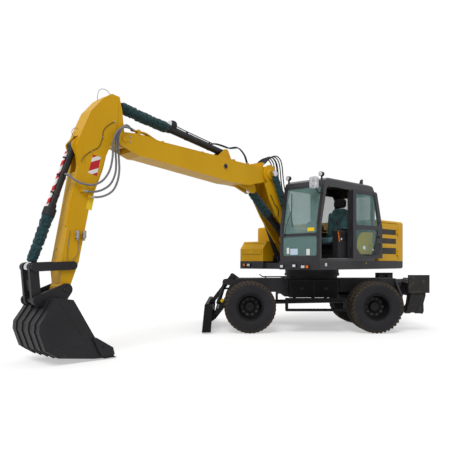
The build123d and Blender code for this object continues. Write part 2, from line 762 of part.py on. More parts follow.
def make_boom_bracket():
    top = DECK_TOP - 40

    def cheek(y0, y1):
        shape = plate(
            [(-260, top), (BOOM_FOOT[0] - 95, BOOM_FOOT[1] + 60), (BOOM_FOOT[0] - 30, 1925),
             (BOOM_FOOT[0] + 50, 1925), (BOOM_FOOT[0] + 110, BOOM_FOOT[1]), (560, 1600),
             (700, 1560), (700, top)], y0, y1,
        )
        return joined(shape, cut=[disc(BOOM_FOOT, PIN_R + RUNNING_GAP, y0, y1)])

    def lug(y0, y1):
        return link([at(LIFT_FOOT, 70), (LIFT_FOOT[0] - 60, top + 20, 20),
                     (LIFT_FOOT[0] + 60, top + 20, 20)], y0, y1)

    def pin(y0, y1):
        return disc(LIFT_FOOT, 36, y0, y1)

    pieces = each_side(cheek, FOOT_PLATE)
    pieces += each_side(lug, (LIFT_Y + 56, LIFT_Y + 76))
    pieces += each_side(pin, (FOOT_PLATE[0], LIFT_Y + 80))
    back = block((-260, -220), in_boom_plane(-FOOT_PLATE[0], FOOT_PLATE[0]), (top, 1560))
    return joined(*pieces, back)


def make_counterweight():
    weight = tail_slab(HOOD_X[0] - RUNNING_GAP, DECK_TOP + RUNNING_GAP, HOOD_TOP)
    with BuildPart() as p:
        add(weight)
        rim = p.faces().sort_by(Axis.Z)[-1].edges()
        fillet(rim, 60)
    x, y = SIDE_HINGE
    hinges = []
    for z in SIDE_HINGE_Z:
        for low in (z - 74, z + 48):
            lug = joined(tube_between((x, y, low), (x, y, low + 26), HINGE_PIN_R + 6),
                         block((x - 40, x - 2), (HALF_WIDTH - 5, y + 8), (low, low + 26)))
            hinges.append(lug)
        hinges.append(tube_between((x, y, z - 74), (x, y, z + 74), HINGE_PIN_R))
    return joined(p.part, *hinges)


def make_engine():
    return block((-1380, -840), (-420, 560), (DECK_TOP + RUNNING_GAP, 2150))


def engine_side(side):
    """A service wall of the engine bay with three long grilles in it."""
    y = sorted((side * (HALF_WIDTH - WALL), side * HALF_WIDTH))
    wall = block(HOOD_X, y, (DECK_TOP, HOOD_TOP - 60))
    cuts = []
    for z in ((2040, 2170), (1840, 1970), (1610, 1760)):
        for n in range(4):
            low = z[0] + 6 + n * (z[1] - z[0] - 12) / 4
            high = low + (z[1] - z[0] - 12) / 4 - 12
            cuts.append(plate([(HOOD_X[0] + 60, low), (HOOD_X[1] - 90, low),
                               (HOOD_X[1] - 90 - (high - low), high), (HOOD_X[0] + 60, high)],
                              y[0] - 1, y[1] + 1))
    return joined(wall, cut=cuts)


def make_engine_housing():
    front = block((HOOD_X[1] - WALL, HOOD_X[1]), (-HALF_WIDTH + WALL, HALF_WIDTH - WALL),
                  (DECK_TOP, HOOD_TOP - 60))
    back = block((HOOD_X[0], HOOD_X[0] + WALL), (-HALF_WIDTH + WALL, HALF_WIDTH - WALL),
                 (DECK_TOP, HOOD_TOP - 60))
    middle = block((HOOD_X[0] + WALL, HOOD_X[1] - WALL), (HALF_WIDTH - 320, HALF_WIDTH - 300),
                   (DECK_TOP, HOOD_TOP - 80))
    x, z = HOOD_HINGE
    hinges = []
    for side in (1, -1):
        for low, high in ((860, 885), (945, 970)):
            y = sorted((side * low, side * high))
            hinges.append(link([(x, z, 17), (x - 10, HOOD_TOP - 120, 16)], *y))
        hinges.append(disc(HOOD_HINGE, HINGE_PIN_R, *sorted((side * 870, side * 960))))
    return joined(front, back, middle, engine_side(-1), *hinges)


def make_side_door():
    """The left service wall, hung on its rear edge and trimmed clear all round."""
    gap = DOOR_GAP
    keep = block((HOOD_X[0] + gap, HOOD_X[1] - gap), (HALF_WIDTH - WALL + RUNNING_GAP, HALF_WIDTH),
                 (DECK_TOP + gap, HOOD_TOP - 60 - gap))
    with BuildPart() as p:
        add(engine_side(1))
        add(keep, mode=Mode.INTERSECT)
    x, y = SIDE_HINGE
    knuckles = []
    for z in SIDE_HINGE_Z:
        barrel = tube_between((x, y, z - 45), (x, y, z + 45), HINGE_PIN_R + 6)
        leaf = joined(block((x + 16, x + 75), (HALF_WIDTH - 6, HALF_WIDTH + 8), (z - 45, z + 45)),
                      block((x + 6, x + 30), (HALF_WIDTH + 2, y + 6), (z - 45, z + 45)))
        bore = tube_between((x, y, z - 45), (x, y, z + 45), HINGE_PIN_R + RUNNING_GAP)
        knuckles.append(joined(barrel, leaf, cut=[bore]))
    return joined(p.part, *knuckles)


def make_engine_hood():
    lid = block((HOOD_X[0] + DOOR_GAP + 2, HOOD_X[1] - DOOR_GAP), (-HALF_WIDTH, HALF_WIDTH),
                (HOOD_TOP - 55, HOOD_TOP))
    with BuildPart() as p:
        add(lid)
        fillet(p.edges().filter_by(Axis.X).sort_by(Axis.Z)[-2:], 45)
    x, z = HOOD_HINGE
    knuckles = []
    for side in (1, -1):
        y = sorted((side * 891, side * 939))
        arm = link([(x, z, 17), (HOOD_X[1] - 20, z, 12)], *y)
        knuckles.append(joined(arm, cut=[disc(HOOD_HINGE, HINGE_PIN_R + RUNNING_GAP, *y)]))
    return joined(p.part, *knuckles)


def make_fuel_tank():
    with BuildPart() as p:
        add(block((-640, 430), (-HALF_WIDTH + 5, CHANNEL[0] - 5), (DECK_TOP, 2240)))
        fillet(p.edges().filter_by(Axis.X).sort_by(Axis.Z)[-2:], 50)
        fillet(p.edges().filter_by(Axis.Z).sort_by(Axis.X)[-2:], 40)
    return p.part


def make_toolbox():
    y = (-HALF_WIDTH + 5, CHANNEL[0] - 5)
    side = [(440, DECK_TOP), (DECK_FRONT, DECK_TOP), (DECK_FRONT, 1730), (900, 1850), (440, 1850)]
    inner = [(480, DECK_TOP + 40), (DECK_FRONT - 40, DECK_TOP + 40), (DECK_FRONT - 40, 1715),
             (880, 1900), (480, 1900)]
    box = joined(plate(side, *y), cut=[plate(inner, y[0] + WALL, y[1] - WALL)])
    x, z = LID_HINGE
    hinges = []
    for y0 in LID_HINGE_Y:
        for low in (y0 - 62, y0 + 36):
            lug = link([(x, z, HINGE_PIN_R + 6), (x + 2, 1836, 12)], low, low + 26)
            hinges.append(lug)
        hinges.append(disc(LID_HINGE, HINGE_PIN_R, y0 - 62, y0 + 62))
    return joined(box, *hinges)


def make_toolbox_lid():
    y = (-HALF_WIDTH + 5, CHANNEL[0] - 5)
    x, z = LID_HINGE
    seat = 1850 + RUNNING_GAP
    room = 22
    lid = plate([(x + room, seat), (898, seat), (898, 1862), (875, 1895), (x + room, 1895)], *y)
    knuckles = []
    for y0 in LID_HINGE_Y:
        wide = (y0 - 32, y0 + 32)
        arm = link([(x, z, HINGE_PIN_R + 6), (x + 40, z + 8, 12)], *wide)
        knuckles.append(joined(arm, cut=[disc(LID_HINGE, HINGE_PIN_R + RUNNING_GAP, *wide)]))
    return joined(lid, *knuckles)


# Cab
def cab_outline(inset=0.0):
    """The cab's side outline with its leaning windscreen and rounded roof corners."""
    x0, x1 = CAB_X[0] + inset, CAB_X[1] - inset
    low, top = CAB_FLOOR - 40 + inset, CAB_ROOF - inset
    return [
        (x0, low), (x0, top - 170), (x0 + 90, top - 30), (x0 + 220, top), (x1 - 330, top),
        (x1 - 190, top - 60), (x1 - 150, top - 150), (x1, SCREEN_KNEE), (x1, low),
    ]


def cab_section():
    """The cab's outline seen from the front, with rounded roof edges, along its whole length."""
    low, high = CAB_Y
    r = ROOF_EDGE_R
    with BuildPart() as p:
        with BuildSketch(Plane.YZ.offset(CAB_X[0] - 50)) as face:
            with BuildLine():
                Polyline((low, CAB_FLOOR - 60), (low, CAB_ROOF), (high, CAB_ROOF),
                         (high, CAB_FLOOR - 60), close=True)
            make_face()
            fillet(face.vertices().sort_by(Axis.Z)[-2:], r)
        extrude(amount=CAB_X[1] - CAB_X[0] + 100)
    return p.part


def screen_x(z):
    """How far forward the windscreen's outer face lies at a height."""
    if z <= SCREEN_KNEE:
        return CAB_X[1]
    return CAB_X[1] - (z - SCREEN_KNEE) * 150 / (CAB_ROOF - 150 - SCREEN_KNEE)


def make_cab_shell():
    with BuildPart() as outer:
        add(plate(cab_outline(), *CAB_Y))
        add(cab_section(), mode=Mode.INTERSECT)
    room = plate(cab_outline(WALL), CAB_Y[0] + WALL, CAB_Y[1] - WALL)
    doorway = [(DOOR_X[0], CAB_FLOOR + 10), (DOOR_X[0], 2900), (1180, 2900), (1215, 2860),
               (DOOR_X[1], 2150), (DOOR_X[1], CAB_FLOOR + 10)]
    y_near = (CAB_Y[1] - WALL - 5, CAB_Y[1] + 5)
    y_far = (CAB_Y[0] - 5, CAB_Y[0] + WALL + 5)
    cuts = [room, plate(doorway, *y_near)]
    for y in (y_near, y_far):
        cuts.append(rounded_plate(SIDE_PANE, *y, PANE_R))
    cuts.append(rounded_plate(FAR_PANE, *y_far, PANE_R))
    for x, y, z in (SCREEN, LOWER_SCREEN, REAR_PANE):
        cuts.append(window(x, y, z, PANE_R))
    cuts.append(block(*HATCH, (CAB_ROOF - 100, CAB_ROOF + 50)))
    hinges = []
    x = DOOR_X[0] - 20
    for z in DOOR_HINGE_Z:
        hinges.append(block((x - 12, x + 12), (CAB_Y[1] - 5, DOOR_HINGE_Y + 8), (z, z + 50)))
        hinges.append(tube_between((x, DOOR_HINGE_Y, z + 40), (x, DOOR_HINGE_Y, z + 110),
                                   DOOR_HINGE_R))
    return joined(joined(outer.part, cut=cuts), *hinges)


def make_cab_glass():
    """The fixed panes, each set in the middle of its wall."""
    g = RUNNING_GAP

    def inset(points):
        middle_x = sum(x for x, _ in points) / len(points)
        middle_z = sum(z for _, z in points) / len(points)
        return [(x + (g if x < middle_x else -g), z + (g if z < middle_z else -g))
                for x, z in points]

    def across(x, source):
        y, z = source[1], source[2]
        return window(x, (y[0] + g, y[1] - g), (z[0] + g, z[1] - g), PANE_R - g)

    low, high = SCREEN[2]
    lean = [(screen_x(low) - 26, low), (screen_x(low) - 20, low), (screen_x(high) - 20, high),
            (screen_x(high) - 26, high)]
    with BuildPart() as front:
        add(plate(lean, *SCREEN[1]))
        add(across(SCREEN[0], SCREEN), mode=Mode.INTERSECT)
    near, far = CAB_Y[1] - 26, CAB_Y[0] + 20
    panes = [
        rounded_plate(inset(SIDE_PANE), near, near + 6, PANE_R),
        rounded_plate(inset(SIDE_PANE), far, far + 6, PANE_R),
        rounded_plate(inset(FAR_PANE), far, far + 6, PANE_R),
        front.part,
        across((CAB_X[1] - 23, CAB_X[1] - 17), LOWER_SCREEN),
        across((CAB_X[0] + 17, CAB_X[0] + 23), REAR_PANE),
        block((HATCH[0][0] + g, HATCH[0][1] - g), (HATCH[1][0] + g, HATCH[1][1] - g),
              (CAB_ROOF - 26, CAB_ROOF - 20)),
    ]
    return joined(*panes)


def make_cab_door():
    """The door, swung right round on its hinges against the cab's side."""
    y = (2 * DOOR_HINGE_Y - CAB_Y[1], 2 * DOOR_HINGE_Y - CAB_Y[1] + DOOR_T)
    hinge = DOOR_X[0] - 20
    rear, gap, front = DOOR_X[0] + DOOR_GAP, DOOR_GAP, DOOR_STRIKE_GAP

    def back(x):
        return 2 * hinge - x

    shape = [(back(rear), CAB_FLOOR + 10 + gap), (back(rear), 2900 - gap),
             (back(1180 - front), 2900 - gap), (back(1215 - front), 2860),
             (back(DOOR_X[1] - front), 2150), (back(DOOR_X[1] - front), CAB_FLOOR + 10 + gap)]
    wide = (y[0] - 5, y[1] + 5)
    cuts = []
    for outline in DOOR_PANES:
        cuts.append(rounded_plate([(back(x), z) for x, z in outline], *wide, PANE_R))
    panel = joined(plate(shape, *y), cut=cuts)
    knuckles = []
    reach = back(rear) - 10
    for z in DOOR_HINGE_Z:
        ends = (z + 56, z + 116)
        mid = DOOR_HINGE_Y
        arm = block((reach, hinge), (mid - 6, mid + 6), ends)
        foot = block((reach, back(rear)), (mid - 6, y[0] + 3), ends)
        tube = tube_between((hinge, mid, ends[0]), (hinge, mid, ends[1]), DOOR_HINGE_R + 4)
        bore = tube_between((hinge, mid, ends[0] - 1), (hinge, mid, ends[1] + 1),
                            DOOR_HINGE_R + RUNNING_GAP)
        knuckles.append(joined(arm, foot, tube, cut=[bore]))
    return swung(joined(panel, *knuckles))


def swung(shape):
    """The open door and its glass, turned a little off the cab's side about the hinges."""
    hinge = Axis((DOOR_X[0] - 20, DOOR_HINGE_Y, 0), (0, 0, 1))
    return shape.rotate(hinge, -DOOR_AJAR)


def make_door_glass():
    y = 2 * DOOR_HINGE_Y - CAB_Y[1] + DOOR_T / 2
    hinge = DOOR_X[0] - 20
    panes = []
    for outline in DOOR_PANES:
        middle_x = sum(x for x, _ in outline) / len(outline)
        middle_z = sum(z for _, z in outline) / len(outline)
        g = RUNNING_GAP
        points = [(2 * hinge - x + (-g if x < middle_x else g), z + (g if z < middle_z else -g))
                  for x, z in outline]
        panes.append(rounded_plate(points, y - 3, y + 3, PANE_R))
    return swung(joined(*panes))


def make_seat():
    y = (CAB_Y[0] + CAB_Y[1]) / 2
    base = block((150, 520), (y - 190, y + 190), (CAB_FLOOR, 1800))
    cushion = block((110, 640), (y - 250, y + 250), (1800, 1920))
    back = plate([(20, 1860), (170, 1860), (90, 2560), (-50, 2560)], y - 240, y + 240)
    head = plate([(-60, 2560), (90, 2560), (60, 2760), (-60, 2760)], y - 130, y + 130)
    return joined(base, cushion, back, head)


def make_console():
    pieces = []
    for low, high in ((CAB_Y[0] + 70, CAB_Y[0] + 205), (CAB_Y[1] - 205, CAB_Y[1] - 80)):
        pieces.append(block((160, 720), (low, high), (CAB_FLOOR, 2060)))
    y = (CAB_Y[0] + CAB_Y[1]) / 2
    column = plate([(980, CAB_FLOOR), (1120, CAB_FLOOR), (1010, 2120), (930, 2120)], y - 60, y + 60)
    wheel = tube_between((940, y, 2125), (925, y, 2160), 180, 150)
    spoke = tube_between((782, y, 2078), (1082, y, 2206), 14)
    hub = tube_between((950, y, 2100), (938, y, 2148), 45)
    return joined(*pieces, column, wheel, spoke, hub)


def make_lamps():
    """Lamps on the front band and on the cab's roof, each (face x, y, z, half width)."""
    front, side = CAB_X[1] + RUNNING_GAP, DECK_FRONT + RUNNING_GAP
    pieces = []
    for x, y, z, half in (
        (front, 973, 1348, 36), (front, 872, 1348, 48), (front, 658, 1366, 42),
        (front, 345, 1354, 42), (side, -1105, 1375, 36), (side, -974, 1374, 50),
    ):
        with BuildPart() as lamp:
            add(block((x, x + 28), (y - half, y + half), (z - 32, z + 32)))
            fillet(lamp.edges().filter_by(Axis.X), 10)
        pieces.append(lamp.part)
    for y in ROOF_LAMP_Y:
        stalk = block((1235, 1262), (y - 12, y + 12), (3021, 3095))
        head = tube_between((1222, y, 3128), (1290, y, 3128), 46)
        pieces.append(joined(stalk, head))
    return joined(*pieces)


def make_mirror():
    """The mirror on its arm in front of the cab's left pillar, and the roof's aerial."""
    y = CAB_Y[1] - 35
    foot = screen_x(2736) + RUNNING_GAP
    arm = tube_between((foot, y, 2750), (1442, y, 2750), 13)
    rise = tube_between((1440, y, 2750), (1505, y - 30, 2850), 13)
    with BuildPart() as shell:
        add(block((1490, 1540), (1075, 1250), (2825, 3045)))
        fillet(shell.edges().filter_by(Axis.X), 30)
    fin = plate([(-330, CAB_ROOF + RUNNING_GAP), (-200, CAB_ROOF + RUNNING_GAP), (-270, 3190),
                 (-330, 3200)], 1070, 1096)
    return joined(joined(arm, rise, shell.part), fin)


# Working arm
def make_base_boom():
    """A channel, open at the front, that the adjusting cylinder lies in."""
    front = [(1679, 3031), (1526, 2695), (1312, 2389), (1040, 2080), (ADJUST_FOOT[0] + 95, 1850)]
    rear = [(1292, 3103), (1220, 2807), (1057, 2409), (770, 2140), (430, 1975)]

    def cheek(y0, y1):
        side = plate([*front, (640, 1790), (BOOM_FOOT[0], BOOM_FOOT[1] - 110),
                      (BOOM_FOOT[0] - 110, BOOM_FOOT[1]), (BOOM_FOOT[0] - 60, BOOM_FOOT[1] + 100),
                      *reversed(rear)], y0, y1)
        return joined(side, disc(BOOM_KNEE, 185, y0, y1))

    def boss(y0, y1):
        return disc(BOOM_KNEE, 105, y0, y1)

    inner = in_boom_plane(-BASE_PLATE[0] - 5, BASE_PLATE[0] + 5)
    web = plate([(1292, 3103), (1220, 2807), (1057, 2409), (770, 2140), (430, 1975),
                 (455, 1935), (790, 2105), (1085, 2385), (1250, 2797), (1320, 3093)], *inner)
    foot = disc(BOOM_FOOT, 105, *inner)
    foot_pin = disc(BOOM_FOOT, PIN_R, *in_boom_plane(-FOOT_PLATE[1] - 20, FOOT_PLATE[1] + 20))
    knee_pin = disc(BOOM_KNEE, PIN_R, *in_boom_plane(-BASE_PLATE[1], BASE_PLATE[1]))

    def lug(y0, y1):
        return link([at(ADJUST_FOOT, 78), (620, 2010, 60), (560, 1900, 60)], y0, y1)

    pieces = each_side(cheek, BASE_PLATE) + each_side(boss, (BASE_PLATE[1], 278))
    pieces += each_side(lug, ADJUST_LUG)
    bottom = plate([(BOOM_FOOT[0], BOOM_FOOT[1] - 105), (BOOM_FOOT[0], BOOM_FOOT[1] - 75),
                    (600, 1830), (600, 2000), (540, 2020), (620, 1800)], *inner)
    pin = disc(ADJUST_FOOT, PIN_R, *in_boom_plane(-ADJUST_LUG[1], ADJUST_LUG[1]))
    clamp = block((600, 680), in_boom_plane(-150, 150), (2060, CLAMP_TOP))
    return joined(*pieces, web, foot, foot_pin, knee_pin, bottom, pin, clamp)


def make_upper_boom():
    y = in_boom_plane(-BOOM_HALF, BOOM_HALF)
    body = plate(
        [(1500, 3375), (1812, 3335), (2965, 3378), (4332, 3439), (4485, 3490), (4740, 3501),
         (4985, 3485), (5040, 3270), (4678, 3144), (4556, 3144), (2608, 2950), (2363, 2950),
         (2100, 2935), (1900, 2990), (1577, 3065)], *y,
    )
    knee = disc(BOOM_KNEE, 160, *y)
    nose = disc(STICK_PIN, 115, *y)
    slot = block((4830, 5200), in_boom_plane(-STICK_HALF - 10, STICK_HALF + 10), (3000, 3700))

    def lug(y0, y1):
        return link([at(ADJUST_EYE, 82), (2300, 2990, 40), (1900, 3020, 40)], y0, y1)

    def top_lug(y0, y1):
        return link([at(ARM_CYL_FOOT, 62), (2500, 3340, 20), (2900, 3360, 20)], y0, y1)

    pieces = each_side(lug, (60, 95)) + each_side(top_lug, ARM_LUG)
    past_end = block((PIPE_END, PIPE_END + 40), (-60, 70), (3500, 3600))
    for y0 in PIPE_Y:
        pipe = hose_run([(x, y0, z) for x, z in PIPE_ROUTE], PIPE_R)
        pieces.append(joined(pipe, cut=[past_end]))
    clamp_y = (PIPE_Y[0] - 20, PIPE_Y[-1] + 16)
    pieces.append(block((4680, 4720), clamp_y, (3480, 3570)))
    for x, z in ((3300, 3380), (4200, 3425), (2500, 3350)):
        pieces.append(block((x, x + 36), clamp_y, (z, z + 40)))
    pieces.append(block((MANIFOLD_X, MANIFOLD_X + 70), in_boom_plane(-150, 150), (3330, 3440)))
    for n in range(2):
        port = BOOM_Y - 40 + n * 80
        pieces.append(block((1960, 2010), (port - 22, port + 22), (3320, 3400)))
    window_port = disc((2755, 3228), 52, *in_boom_plane(BOOM_HALF - 5, BOOM_HALF + 12))
    pieces.append(window_port)
    pin = disc(ARM_CYL_FOOT, 36, *in_boom_plane(-ARM_LUG[1], ARM_LUG[1]))
    stick_pin = disc(STICK_PIN, PIN_R, *in_boom_plane(-BOOM_HALF - 15, BOOM_HALF + 15))
    hole = disc(BOOM_KNEE, PIN_R + RUNNING_GAP, *in_boom_plane(-BASE_PLATE[1], BASE_PLATE[1]))
    hull = joined(body, knee, nose, cut=[slot, hole])
    return joined(hull, *pieces, pin, stick_pin)


def make_stick():
    y = in_boom_plane(-STICK_HALF, STICK_HALF)
    body = plate(
        [(5046, 4031), (5188, 4051), (5341, 3949), (5545, 3725), (5699, 3399), (5790, 3174),
         (5760, 2868), (5903, 2123), (6040, 1440), (6050, 1300), (6030, 1080), (5900, 1080),
         (5760, 1440), (5576, 2297), (5352, 2848), (5250, 3230), (5060, 3265), (4960, 3500),
         (5000, 3827)], *y,
    )
    pieces = [disc(STICK_PIN, 125, *y), disc(BUCKET_PIN, 95, *y)]

    def lug(y0, y1):
        return link([at(BUCKET_CYL_FOOT, 70), (5640, 3330, 60), (5700, 3000, 60)], y0, y1)

    slot = block((4900, 5215), in_boom_plane(-52, 52), (3690, 4100))
    room = block((5680, 5900), in_boom_plane(-BUCKET_LUG[0], BUCKET_LUG[0]), (2780, 3330))
    cut = [slot, disc(STICK_PIN, PIN_R + RUNNING_GAP, *y), room]
    pin = disc(BUCKET_CYL_FOOT, 36, *in_boom_plane(-BUCKET_LUG[1], BUCKET_LUG[1]))
    idler_pin = disc(IDLER_PIN, 34, *in_boom_plane(-IDLER_PLATE[1] - 8, IDLER_PLATE[1] + 8))
    bucket_pin = disc(BUCKET_PIN, PIN_R, *in_boom_plane(-EAR_PLATE[1] - 8, EAR_PLATE[1] + 8))
    cheeks = []
    for side in (1, -1):
        inner, outer = sorted((side * (STICK_HALF - 2), side * (STICK_HALF + CHEEK_T)))
        cheeks.append(rounded_plate(STICK_CHEEK, *in_boom_plane(inner, outer), 60))
    hull = joined(body, *pieces, *cheeks, cut=cut)
    face = BOOM_Y + STICK_HALF
    trim = []
    for x, y0, z in STICK_PORTS:
        trim.append(block((x + RUNNING_GAP, x + 45), (face - 5, y0 + 18), (z - 22, z + 22)))
    for x, z in ((5795, 1835), (5689, 1846)):
        trim.append(block((x - 28, x + 28), (face - 5, face + 50), (z - 45, z + 60)))
    for y0, points in zip(STICK_PIPE_Y, STICK_PIPES):
        trim.append(hose_run([(x, y0, z) for x, z in points], PIPE_R))
    for x, z in ((5795, 2440), (5850, 2130)):
        trim.append(block((x - 25, x + 25), (STICK_PIPE_Y[0] - 18, STICK_PIPE_Y[-1] + 18), (z, z + 36)))
    return joined(hull, *each_side(lug, BUCKET_LUG), pin, idler_pin, bucket_pin, *trim)


def make_idlers():
    def bar(y0, y1):
        shape = link([at(IDLER_PIN, 62), at(LINK_TOP, 62)], y0, y1)
        return joined(shape, cut=[disc(IDLER_PIN, 34 + RUNNING_GAP, y0, y1)])

    return joined(*each_side(bar, IDLER_PLATE))


def make_bucket_link():
    def bar(y0, y1):
        shape = link([at(LINK_TOP, 68), at(LINK_LOW, 68)], y0, y1)
        return joined(shape, cut=[disc(LINK_LOW, PIN_R + RUNNING_GAP, y0, y1)])

    web = link([(6433, 1170, 30), (6412, 1040, 30)], *in_boom_plane(-LINK_PLATE[0], LINK_PLATE[0]))
    return joined(*each_side(bar, LINK_PLATE), web)


def make_bucket():
    outer = [(6209, 940), (5990, 905), (5627, 308), (5400, 130), (5300, 12), (5668, 32), (6219, 104),
             (6413, 226), (6504, 481), (6494, 593), (6382, 746), (6270, 920)]
    inner = [(6195, 915), (5985, 880), (5500, 700), (5300, 200), (5280, 30), (5668, 55),
             (6210, 128), (6398, 240), (6480, 481), (6470, 590), (6362, 733), (6255, 900)]
    shell = plate(outer, *in_boom_plane(-BUCKET_HALF, BUCKET_HALF))
    room = plate(inner, *in_boom_plane(-BUCKET_HALF + 22, BUCKET_HALF - 22))

    def ear(y0, y1):
        shape = link([at(BUCKET_PIN, 90), at(LINK_LOW, 80), (6240, 900, 30), (6000, 890, 20)], y0, y1)
        return joined(shape, cut=[disc(BUCKET_PIN, PIN_R + RUNNING_GAP, y0, y1)])

    cutters = []
    for side in (1, -1):
        y = sorted((side * BUCKET_HALF, side * (BUCKET_HALF + 30)))
        cutters.append(plate([(5700, 330), (5640, 340), (5360, 170), (5330, 60), (5560, 60)],
                             *in_boom_plane(*y)))
    teeth = []
    for n in range(5):
        y = (n - 2) * (2 * BUCKET_HALF - 110) / 4
        teeth.append(plate([(5270, 14), (5480, 10), (5480, 62), (5420, 62)],
                           *in_boom_plane(y - 42, y + 42)))
    ribs = []
    for y in (-300, -110, 90, 280):
        ribs.append(plate(BUCKET_RIB, *in_boom_plane(y, y + 24)))
    pin = disc(LINK_LOW, PIN_R, *in_boom_plane(-EAR_PLATE[1] - 8, EAR_PLATE[1] + 8))
    body = joined(shell, *ribs, cut=[room])
    return joined(body, *each_side(ear, EAR_PLATE), *cutters, *teeth, pin)


def make_boom_rams():
    def spot(place, y=0.0):
        return place[0], BOOM_Y + y, place[1]

    lift = [ram(spot(LIFT_FOOT, s * LIFT_Y), spot(BOOM_KNEE, s * LIFT_Y), (0, 1, 0),
                50, 34, (100, 84), 36, 1210, 120, 368) for s in (1, -1)]
    adjust = ram(spot(ADJUST_FOOT), spot(ADJUST_EYE), (0, 1, 0), 72, 42, (170, 100), PIN_R,
                 800, 130, 365)
    arm = ram(spot(ARM_CYL_FOOT), spot(ARM_CYL_EYE), (0, 1, 0), 62, 38, (146, 88), 36, 1420, 120, 526)
    bucket = ram(spot(BUCKET_CYL_FOOT), spot(LINK_TOP), (0, 1, 0), 56, 35, (142, 88), 36,
                 1070, 120, 500)
    x, y0, z = BARREL_PORT
    port = disc((x, z), 20, BOOM_Y + 40, y0)
    port_room = tube_between(spot(BUCKET_CYL_FOOT), spot(LINK_TOP), 50)
    with_port = joined(bucket[0], joined(port, cut=[port_room]))
    return {
        "lift": (joined(lift[0][0], lift[1][0]), joined(lift[0][1], lift[1][1])),
        "adjust": adjust, "arm": arm, "bucket": (with_port, bucket[1]),
    }


def make_stick_hoses():
    """Three hoses from the upper boom's pipes, looping down past the stick's left side."""
    cut = [block((PIPE_END - 40, PIPE_END + RUNNING_GAP), (-60, 70), (3500, 3600))]
    for x, y0, z in STICK_PORTS:
        cut.append(block((x, x + 40), (y0 - 30, y0 + 30), (z - 30, z + 30)))
    x, y0, z = BARREL_PORT
    cut.append(block((x - 40, x + 40), (y0 - 40, y0 + RUNNING_GAP), (z - 40, z + 40)))
    return joined(*[joined(hose_run(points, HOSE_R), cut=cut) for points in STICK_HOSES])


def make_boom_hoses():
    """The bundle from the upper boom's rear end, over the knee and down the base boom's back."""
    runs = []
    for n, y in enumerate(REAR_HOSE_Y):
        lift = 14 * (n % 3)
        points = []
        for k, (x, z) in enumerate(REAR_HOSE_ROUTE):
            bow = math.sin(math.pi * k / (len(REAR_HOSE_ROUTE) - 1))
            points.append((x - lift * bow, BOOM_Y + y, z + lift * bow))
        ends = [block((MANIFOLD_X - RUNNING_GAP, MANIFOLD_X + 40), in_boom_plane(-180, 180), (3330, 3480)),
                block((560, 720), in_boom_plane(-180, 180), (2060, CLAMP_TOP + RUNNING_GAP))]
        runs.append(joined(hose_run(points, HOSE_R), cut=ends))
    return joined(*runs)


save_turned(make_chassis(), "chassis")
save_turned(make_front_axle(), "front_axle")
save_turned(make_rear_axle(), "rear_axle")
save_turned(make_side_steps(), "side_steps")
save_turned(make_carrier(), "stabiliser_carrier")
for side_name, side_sign in (("left", 1), ("right", -1)):
    save_turned(make_knuckle(side_sign), f"knuckle_{side_name}")
    for end_name, axle_x in (("front", FRONT_AXLE_X), ("rear", REAR_AXLE_X)):
        save_turned(make_tyres(axle_x, side_sign), f"tyres_{end_name}_{side_name}")
        save_turned(make_wheel(axle_x, side_sign), f"wheel_{end_name}_{side_name}")
    save_turned(make_leg(side_sign), f"stabiliser_{side_name}")
    leg_barrel, leg_rod = make_leg_ram(side_sign)
    save_turned(leg_barrel, f"stabiliser_barrel_{side_name}")
    save_turned(leg_rod, f"stabiliser_rod_{side_name}")
save_turned(make_blade(), "blade")
save_turned(make_blade_arms(), "blade_arms")
save_turned(make_blade_links(), "blade_links")
blade_barrels, blade_rods = make_blade_rams()
save_turned(blade_barrels, "blade_barrels")
save_turned(blade_rods, "blade_rods")

save(make_platform(), "platform")
save(make_boom_bracket(), "boom_bracket")
save(make_counterweight(), "counterweight")
save(make_engine(), "engine")
save(make_engine_housing(), "engine_housing")
save(make_side_door(), "side_door")
save(make_engine_hood(), "engine_hood")
save(make_fuel_tank(), "fuel_tank")
save(make_toolbox(), "toolbox")
save(make_toolbox_lid(), "toolbox_lid")
save(make_cab_shell(), "cab_shell")
save(make_cab_glass(), "cab_glass")
save(make_cab_door(), "cab_door")
save(make_door_glass(), "door_glass")
save(make_lamps(), "lamps")
save(make_mirror(), "mirror")
save(make_seat(), "seat")
save(make_console(), "console")
save(make_base_boom(), "base_boom")
save(make_upper_boom(), "upper_boom")
save(make_stick_hoses(), "stick_hoses")
save(make_boom_hoses(), "boom_hoses")
save(make_stick(), "stick")
save(make_idlers(), "idler_links")
save(make_bucket_link(), "bucket_link")
save(make_bucket(), "bucket")
for ram_name, (barrel_part, rod_part) in make_boom_rams().items():
    save(barrel_part, f"{ram_name}_barrel")
    save(rod_part, f"{ram_name}_rod")
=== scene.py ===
"""Looks of the wheeled excavator: materials, tread, sleeves, hoses, cab trim, lamps and lights."""
import bpy
import bmesh
import json
from math import asin, copysign, cos, degrees, exp, pi, radians, sin, sqrt
from mathutils import Matrix, Vector, noise


